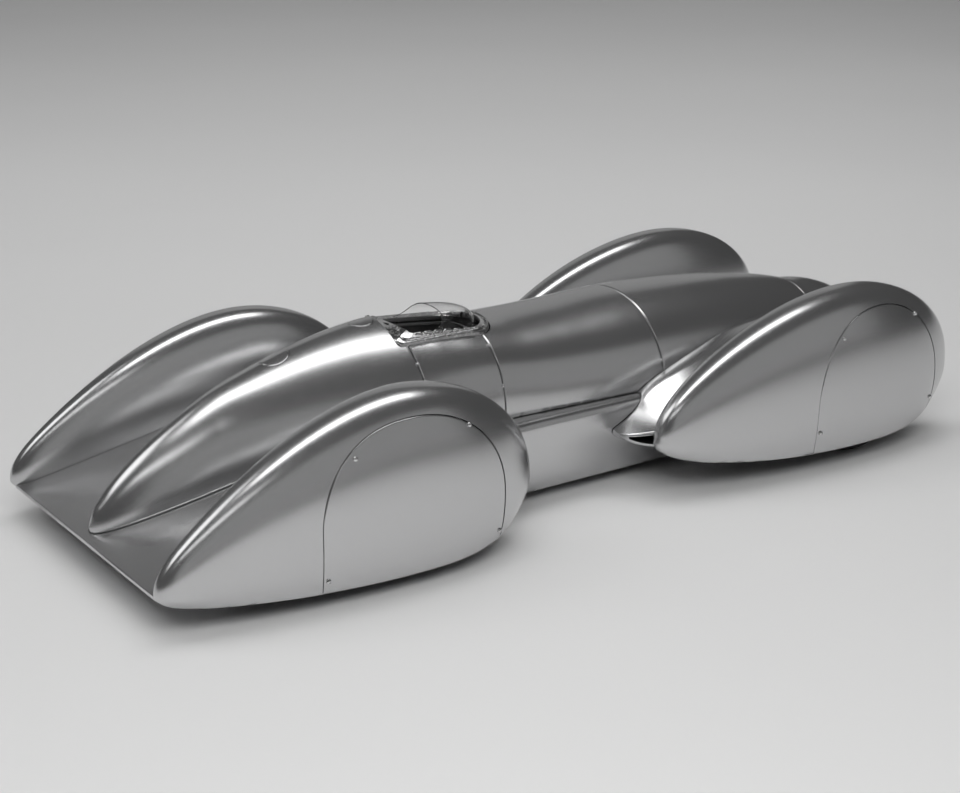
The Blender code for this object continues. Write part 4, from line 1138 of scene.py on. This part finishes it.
verts, faces = [], []
ts = [i / 44 for i in range(45)]
n = len(outer_line)
for t in ts:
    for (xa, ya), (xb, yb) in zip(outer_line, inner_line):
        x, y = xa + (xb - xa) * t, ya + (yb - ya) * t
        verts.append(P(x, y, hull_z(x, y) + rim_height(x, y, t)))
for (xa, ya), (xb, yb) in zip(outer_line, inner_line):
    verts.append(P(xb, yb, hull_z(xb, yb) - 0.85))
for (xa, ya), (xb, yb) in zip(outer_line, inner_line):
    verts.append(P(xa, ya, hull_z(xa, ya) - 0.85))
rows = len(ts) + 2
for i in range(rows):
    for j in range(n):
        k = (j + 1) % n
        a, b = i, (i + 1) % rows
        faces.append((a * n + j, a * n + k, b * n + k, b * n + j))
rim = shade(mesh_object("surround", verts, faces), angle=40, clean=False)
put(rim, "cockpit_hatch", BRIGHT, "bright_metal", "cockpit_rim")


def stud(name, pos, nrm, r, h, n=20):
    """Domed rivet head seated on a surface."""
    prof = [(0.0, -0.12), (r, -0.12), (r, 0.05)]
    prof += [(r * math.cos(math.pi / 2 * i / 7), 0.05 + (h - 0.05) * math.sin(math.pi / 2 * i / 7)) for i in range(1, 8)]
    return shade(lathe(name, pos, nrm, prof, n), angle=50, clean=False)


def hull_normal(x, y):
    e = 0.05
    return Vector((-(hull_z(x + e, y) - hull_z(x - e, y)) / (2 * e), -(hull_z(x, y + e) - hull_z(x, y - e)) / (2 * e), 1)).normalized()


# hinge leaves: a row of short raised bars along the right-hand inner edge
bars = []
for k in range(6):
    xa = 61.9 + 2.12 * k
    verts, faces = [], []
    prof = [(-0.21, 0.0), (-0.21, 0.14), (-0.14, 0.24), (0.0, 0.28), (0.14, 0.24), (0.21, 0.14), (0.21, 0.0)]
    m = len(prof)
    xs = [xa, xa + 0.06, xa + 0.18] + [xa + 0.3 + 0.3 * i for i in range(4)] + [xa + 1.42, xa + 1.5, xa + 1.56]
    for q, x in enumerate(xs):
        s = 0.55 if q in (0, len(xs) - 1) else (0.85 if q in (1, len(xs) - 2) else 1.0)
        yb = -(HOLE_HALF + 0.36)
        for dy, dz in prof:
            y = yb + dy * s
            verts.append(P(x, y, hull_z(x, y) + 0.22 + dz * s))
    for i in range(len(xs) - 1):
        for j in range(m):
            jj = (j + 1) % m
            faces.append((i * m + j, i * m + jj, (i + 1) * m + jj, (i + 1) * m + j))
    faces.append(tuple(range(m)))
    faces.append(tuple((len(xs) - 1) * m + j for j in range(m)))
    bars.append(mesh_object("bar%d" % k, verts, faces))
leaves = shade(merge("hinge_leaves", bars), angle=40)
put(leaves, "cockpit_hatch", BRIGHT, "bright_metal")

# rivets round the surround and the screw in its rear plate
spots = [(62.9, -7.75), (73.9, -7.1), (77.5, -5.9), (79.2, -3.2), (62.9, 7.75), (73.9, 7.1), (77.5, 5.9), (79.2, 3.2)]
studs = []
for i, (x, y) in enumerate(spots):
    nm = hull_normal(x, y)
    studs.append(stud("s%d" % i, (x, y, hull_z(x, y) + 0.32), nm, 0.20, 0.16))
put(shade(merge("surround_rivets", studs), angle=50), "cockpit_hatch", BRIGHT, "bright_metal")
plate = []
for y in (-5.2, 5.2):
    nm = hull_normal(59.5, y)
    prof = [(0.0, -0.1), (0.42, -0.1), (0.42, 0.06), (0.37, 0.11), (0.24, 0.11), (0.21, 0.02), (0.0, 0.02)]
    plate.append(lathe("p", (59.5, y, hull_z(59.5, y) + 0.30), nm, prof, 28))
put(shade(merge("plate_screws", plate), angle=35), "cockpit_hatch", BRIGHT, "bright_metal")

# ------------------------------------------------------------------ windscreen
SCREEN_HALF = 6.28
x_back, x_tip = 62.0, 78.3


def screen_arc(x, inset, ns):
    s = max((x - 68.5) / (x_tip - inset - 68.5), 0.0)
    half = (SCREEN_HALF - inset) * max(1 - min(s, 1.0) ** 2.4, 0.0004) ** 0.42
    base = hull_z(x, half) - 0.6
    top = base + (SCREEN_TOP - 31.6 - inset) * max(1 - min(s, 1.0) ** 3.6, 0.0004) ** 0.5 + 0.8
    pts = []
    for i in range(ns + 1):
        a = math.pi * i / ns
        c, sn = math.cos(a), math.sin(a)
        pts.append((x, half * math.copysign(abs(c) ** (2 / 2.5), c), base + (top - base) * abs(sn) ** (2 / 2.2)))
    return pts


rings = []
for i in range(65):
    x = x_back + (x_tip - 0.4 - x_back) * math.sin(math.pi / 2 * i / 64)
    rings.append([P(*p) for p in screen_arc(x, 0.0, 64)] + [P(*p) for p in screen_arc(x, 0.26, 64)[::-1]])
screen = loft("screen_sheet", rings)
sk = Skin(shade(clone(screen, "tmp"), angle=40))
drop_object(bpy.data.objects["tmp"])
sweep = [(55.0, 31.8), (61.0, 32.15), (64.5, 32.45), (66.8, 32.85), (68.2, 33.5), (69.0, 34.4), (69.5, 35.6), (69.7, 42.0)]
sweep = curve_through(sweep, 10) + [(55.0, 42.0)]
boolean(screen, prism("c", sweep, -12, 12, "y"), "DIFFERENCE")
shade(screen, (sk,), 40)
put(screen, "cockpit_hatch", CLEAR, "clear_screen", "windscreen")

# --------------------------------------------------------------- running gear
for word, ax in (("rear", AXLE_REAR), ("front", AXLE_FRONT)):
    bodyname = word + "_wheelset"
    for side, lr in ((1, "left"), (-1, "right")):
        hw = TYRE_W / 2
        prof = curve_through([(DISC_R + 0.28, -hw * 0.70), (DISC_R + 1.6, -hw * 0.92), (TYRE_R - 1.9, -hw),
                              (TYRE_R - 0.55, -hw * 0.80), (TYRE_R - 0.08, -hw * 0.42)], 8)
        ribs = []
        for k in range(5):
            yc = -hw * 0.36 + hw * 0.72 * k / 4
            ribs += [(TYRE_R - 0.16, yc - hw * 0.085), (TYRE_R - 0.005, yc - hw * 0.06), (TYRE_R, yc),
                     (TYRE_R - 0.005, yc + hw * 0.06), (TYRE_R - 0.16, yc + hw * 0.085)]
        prof = prof + ribs + [(r, -h) for r, h in prof[::-1]]
        t = shade(lathe("tyre_tread_%s_%s" % (word, lr), (ax, side * WHEEL_Y, TYRE_R), (0, 1, 0), prof, 112, ring_shape=True),
                  angle=40, clean=False)
        put(t, bodyname, RUBBER, "tyre_rubber", "tyre_%s_%s" % (word, lr))
        d = DISC_R
        prof = [(AXLE_R + 0.06, -2.4), (2.3, -2.4), (2.6, -2.2), (d - 1.6, -0.35), (d - 1.35, -0.5), (d - 1.15, -2.1),
                (d - 0.9, -2.3), (d - 0.1, -2.3), (d, -2.15), (d, 2.15), (d - 0.1, 2.3), (d - 0.9, 2.3), (d - 1.15, 2.1),
                (d - 1.35, 0.95), (d - 1.8, 0.8), (6.2, 1.25), (3.2, 2.3), (2.8, 2.45), (AXLE_R + 0.06, 2.45)]
        prof = [(r, side * h) for r, h in prof]
        w = lathe("disc", (ax, side * WHEEL_Y, TYRE_R), (0, 1, 0), prof, 96, ring_shape=True)
        parts = [w]
        for k in range(6):
            a = math.pi / 3 * k + 0.3
            parts.append(stud("n", (ax + 4.4 * math.cos(a), side * (WHEEL_Y + 1.72), TYRE_R + 4.4 * math.sin(a)),
                              (0, side, 0), 0.5, 0.45, 6))
        w = shade(merge("wheel_disc_%s_%s" % (word, lr), parts), angle=30)
        put(w, bodyname, ALLOY, "wheel_alloy", "wheel_%s_%s" % (word, lr))
    reskin("axle_" + word, BRIGHT)
    reskin("axle_block_" + word, CHASSIS)
for nm in ("belly_plate", "cockpit_tub", "dashboard"):
    reskin(nm, CHASSIS)
for nm in ("base_screw_1", "base_screw_2", "steering_column"):
    reskin(nm, BRIGHT)

# piano hinge on the right-hand rim: turned knuckles with a pin
HINGE_Y = -RIM_HALF - 0.30
HINGE_Z = max(hull_z(x, RIM_HALF) for x in (60.0, 64.0, 68.0, 72.0)) + RIM_LIFT + 0.42
prof, k, x = [(0.0, 59.95), (0.12, 59.95)], 0, 60.0
while x < 73.9:
    r = 0.33 if k % 2 == 0 else 0.25
    prof += [(0.12, x), (r - 0.05, x), (r, x + 0.06), (r, x + 1.08), (r - 0.05, x + 1.14), (0.12, x + 1.14)]
    x += 1.2
    k += 1
prof += [(0.0, prof[-1][1])]
hinge = shade(lathe("hinge_knuckles", (0, HINGE_Y, HINGE_Z), (1, 0, 0), prof, 28), angle=30, clean=False)
put(hinge, "cockpit_hatch", BRIGHT, "bright_metal", "rim_hinge")

# cover screws: round heads with a small round recess in the middle
for tag in ("rear", "front"):
    for word in ("left", "right"):
        for k in range(1, 5):
            nm = "cover_screw_%s_%s_%d" % (tag, word, k)
            lo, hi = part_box(nm)
            c = (Vector(lo) + Vector(hi)) / 2
            F = FAIR_REAR if tag == "rear" else FAIR_FRONT
            side = 1 if word == "left" else -1
            mx, mz = c.x / MODULE + X_MID, c.z / MODULE
            e = 0.3
            y0 = fairing_face_y(F, mx, mz)
            nrm = Vector((-(fairing_face_y(F, mx + e, mz) - fairing_face_y(F, mx - e, mz)) / (2 * e), 1.0,
                          -(fairing_face_y(F, mx, mz + e) - fairing_face_y(F, mx, mz - e)) / (2 * e))).normalized()
            nrm.y *= side
            prof = [(0.0, -0.15), (0.34, -0.15), (0.36, 0.02), (0.42, 0.05), (0.43, 0.14), (0.36, 0.30), (0.22, 0.40),
                    (0.17, 0.41), (0.15, 0.30), (0.0, 0.30)]
            s = shade(lathe("head_%s_%s_%d" % (tag, word, k), (mx, side * y0, mz), nrm, prof, 24), angle=32, clean=False)
            put(s, "car_body", BRIGHT, "bright_metal", nm)

# ------------------------------------------------------------------- interior
# seat: one padded shell, piped and sewn in upright channels
side_line = [(62.3, 6.5), (66.5, 6.45), (70.8, 6.5), (71.3, 7.6), (71.0, 9.0), (69.4, 9.35), (66.6, 8.95), (65.3, 10.2),
             (64.9, 14.0), (64.4, 19.0), (63.9, 25.2), (63.2, 26.4), (62.3, 26.2), (61.9, 24.0), (61.95, 15.0)]
loop = curve_through(side_line + [side_line[0]], 6)[:-1]
cx = sum(p[0] for p in loop) / len(loop)
cz = sum(p[1] for p in loop) / len(loop)
rings = []
NY = 56
for i in range(NY + 1):
    v = -1 + 2 * i / NY
    y = 4.55 * math.sin(math.pi / 2 * v) if abs(v) > 0.86 else 4.55 * v * (math.sin(math.pi / 2 * 0.86) / 0.86)
    edge = max(abs(y) / 4.55, 0.0)
    tuck = 0.42 * (1 - math.sqrt(max(1 - max((edge - 0.86) / 0.14, 0.0) ** 2, 0.0)))
    ring = []
    for j, (x, z) in enumerate(loop):
        # inward direction of the outline here
        xa, za = loop[j - 1]
        xb, zb = loop[(j + 1) % len(loop)]
        tx, tz = xb - xa, zb - za
        ln = math.hypot(tx, tz)
        nx_, nz_ = -tz / ln, tx / ln
        front = 1.0 if (z > 9.6 and x > 63.5) or (z > 8.2 and x < 70.4 and z < 10.5) else 0.0
        sewn = 0.16 * front * (1 - abs(math.sin(math.pi * (y + 4.55) / 9.1 * 5)) ** 0.45)
        q = tuck + sewn
        ring.append(P(x + nx_ * q, y, z + nz_ * q))
    rings.append(ring)
seat = shade(loft("seat_pad", rings), angle=60)
put(seat, "car_body", HIDE, "seat_leather", "seat")

# lining bands along the inside of the opening
for side, word in ((1, "left"), (-1, "right")):
    strips = []
    for z_off, th in ((0.95, 0.38), (2.0, 0.30)):
        rr = []
        for i in range(41):
            x = 61.6 + 15.2 * i / 40
            half = HOLE_HALF + 0.02
            t = max((x - 72.7) / 6.2, 0.0)
            y = half * (1 - min(t, 1.0) ** 2.3) ** (1 / 2.3)
            z = hull_z(x, y) - z_off
            rr.append([P(x, side * (y - dy), z + dz) for dy, dz in
                       ((0.0, -th), (0.10, -th), (0.16, -th * 0.6), (0.18, 0.0), (0.16, th * 0.6), (0.10, th), (0.0, th))])
        strips.append(loft("st", rr))
    band = shade(merge("lining_" + word, strips), angle=50)
    put(band, "car_body", LINING, "black_chassis")

# steering wheel: round rim, sprung spokes, centre boss
COL_HEAD = (72.0, 0.0, 26.2)
COL_DIR = Vector((-0.93, 0.0, 0.37)).normalized()
u = COL_DIR.orthogonal().normalized()
v = COL_DIR.cross(u)
prof = [(4.1 + 0.32 * math.cos(2 * math.pi * i / 16), 0.32 * math.sin(2 * math.pi * i / 16)) for i in range(16)]
ring = lathe("steer_rim", COL_HEAD, COL_DIR, prof, 80, ring_shape=True)
put(shade(ring, angle=60, clean=False), "steering", WHEELRIM, "black_rim", "steering_wheel")
spokes = [lathe("hub", COL_HEAD, COL_DIR, [(0.0, -0.6), (0.85, -0.6), (0.92, -0.5), (0.92, 0.10), (0.78, 0.26), (0.4, 0.34), (0.0, 0.36)], 32)]
for k in range(4):
    t = math.pi / 4 + math.pi / 2 * k
    for off in (-0.16, 0.16):
        dv = math.cos(t) * u + math.sin(t) * v
        sv = -math.sin(t) * u + math.cos(t) * v
        a = [COL_HEAD[i] + dv[i] * 0.7 + sv[i] * off for i in range(3)]
        b = [COL_HEAD[i] + dv[i] * 3.95 + sv[i] * off for i in range(3)]
        spokes.append(bar("s", a, b, 0.09, 10))
put(shade(merge("steer_spokes", spokes), angle=40), "steering", BRIGHT, "bright_metal")

# instruments: three plain dials on the dashboard
dials = []
lo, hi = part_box("dashboard")
dx = lo[0] / MODULE + X_MID
for y, z, r in ((-2.9, 27.2, 1.0), (0.0, 28.2, 1.0), (2.9, 27.2, 1.0)):
    dials.append(lathe("d", (dx, y, z), (-1, 0, 0), [(0.0, 0.05), (r * 0.8, 0.05), (r * 0.82, 0.16), (r * 0.94, 0.20), (r, 0.12),
                                                      (r, -0.05), (0.0, -0.05)], 36))
put(shade(merge("dial_bezels", dials), angle=35), "car_body", BRIGHT, "bright_metal")

# small seam fasteners on the hull
# each sits on a seam, at a share of the hull's half width: two thirds out on the shoulder, or just above the waist
SHOULDER, FLANK = 2 / 3, 0.95
FASTENERS = ((SEAM_1, SHOULDER), (SEAM_2 - GAP, SHOULDER), (SEAM_2 - GAP, FLANK), (SEAM_3 - GAP, FLANK),
             (0.5 * (SEAM_3 + SEAM_N), 0.85))
for i, (x, share) in enumerate(FASTENERS):
    y = share * hull_station(x)[0]
    for side, word in ((1, "left"), (-1, "right")):
        nrm = hull_normal(x, side * y)
        pos = (x, side * y, hull_z(x, side * y))
        put(stud("seam_fastener_%s_%d" % (word, i + 1), pos, tuple(nrm), 0.34, 0.34), "car_body", BRIGHT)
#@FASTENERS

# ------------------------------------------------------ stage, light, camera
def stage_mesh(name, verts, faces):
    me = bpy.data.meshes.new(name)
    me.from_pydata(verts, [], faces)
    ob = link(name, me)
    return ob


floor = stage_mesh("floor", [(-6, -4, 0), (8, -4, 0), (8, 9, 0), (-6, 9, 0)], [(0, 1, 2, 3)])
fm, fnt, fb, fvec = principled("floor_pale", (0.62, 0.62, 0.62), 0.0, 0.55)
fb.inputs["Specular IOR Level"].default_value = 0.25
nt_v = noise_tex(fnt, fvec, 3.0, 3.0)
fnt.links.new(ramp(fnt, nt_v, [(0.3, 0.61), (0.7, 0.63)]), fb.inputs["Base Color"])
floor.data.materials.append(fm)


def area(name, loc, target, sx, sy, power, glossy=True, spread=None):
    ld = bpy.data.lights.new(name, "AREA")
    ld.shape = "RECTANGLE"
    ld.size, ld.size_y = sx, sy
    ld.energy = power
    if spread:
        ld.spread = math.radians(spread)
    ob = bpy.data.objects.new(name, ld)
    bpy.context.scene.collection.objects.link(ob)
    ob.location = loc
    d = Vector(target) - Vector(loc)
    ob.rotation_euler = d.to_track_quat("-Z", "Y").to_euler()
    if not glossy:
        ob.visible_glossy = False
    return ob


def radiance_power(L, sx, sy):
    """Watts for an area light whose face has radiance L."""
    return L * math.pi * sx * sy


world = bpy.data.worlds.new("room")
bpy.context.scene.world = world
world.use_nodes = True
world.node_tree.nodes["Background"].inputs["Color"].default_value = (0.05, 0.05, 0.05, 1)
world.node_tree.nodes["Background"].inputs["Strength"].default_value = 1.0

# boxes overhead, behind the tail and beside the tail; dim panels before and behind; even top light for the floor
area("box_top", (0.0, 0.03, 0.68), (0.0, 0.03, 0.0), 0.70, 0.20, radiance_power(3.4, 0.70, 0.20))
area("box_tail", (-0.66, 0.50, 0.78), (0.0, 0.0, 0.02), 0.50, 0.46, radiance_power(1.8, 0.50, 0.46))
area("box_side", (-0.50, -0.34, 0.62), (-0.2, -0.02, 0.03), 0.40, 0.10, radiance_power(2.0, 0.40, 0.10))
area("panel_near", (0.3, -1.8, 0.85), (0.0, 0.0, 0.20), 3.2, 1.5, radiance_power(0.24, 3.2, 1.5))
area("panel_far", (1.3, 2.6, 1.0), (0.0, 0.0, 0.20), 2.6, 1.8, radiance_power(0.24, 2.6, 1.8))
area("even", (0.3, 0.4, 3.0), (0.3, 0.4, 0.0), 6.0, 6.0, radiance_power(0.30, 6.0, 6.0), glossy=False)
area("front_floor", (-0.27, -0.42, 0.42), (-0.27, -0.42, 0.0), 0.40, 0.40, radiance_power(4.8, 0.40, 0.40), glossy=False)
area("backdrop", (0.25, 0.30, 1.1), (1.1, 1.5, 0.25), 1.2, 1.2, radiance_power(1.6, 1.2, 1.2), glossy=False)

cam_data = bpy.data.cameras.new("camera")
cam = bpy.data.objects.new("camera", cam_data)
bpy.context.scene.collection.objects.link(cam)
cam_data.sensor_width = 36.0
cam_data.lens = 65.9
cam_data.clip_start, cam_data.clip_end = 0.01, 50
cy, cp = math.radians(34.91), math.radians(18.44)
fwd = Vector((math.sin(cy) * math.cos(cp), math.cos(cy) * math.cos(cp), -math.sin(cp)))
cam.location = (-0.29472, -0.40091, 0.18768)
cam.rotation_mode = "QUATERNION"
cam.rotation_quaternion = fwd.to_track_quat("-Z", "Y")
bpy.context.scene.camera = cam
bpy.context.scene.view_settings.view_transform = "Standard"

bpy.context.view_layer.update()
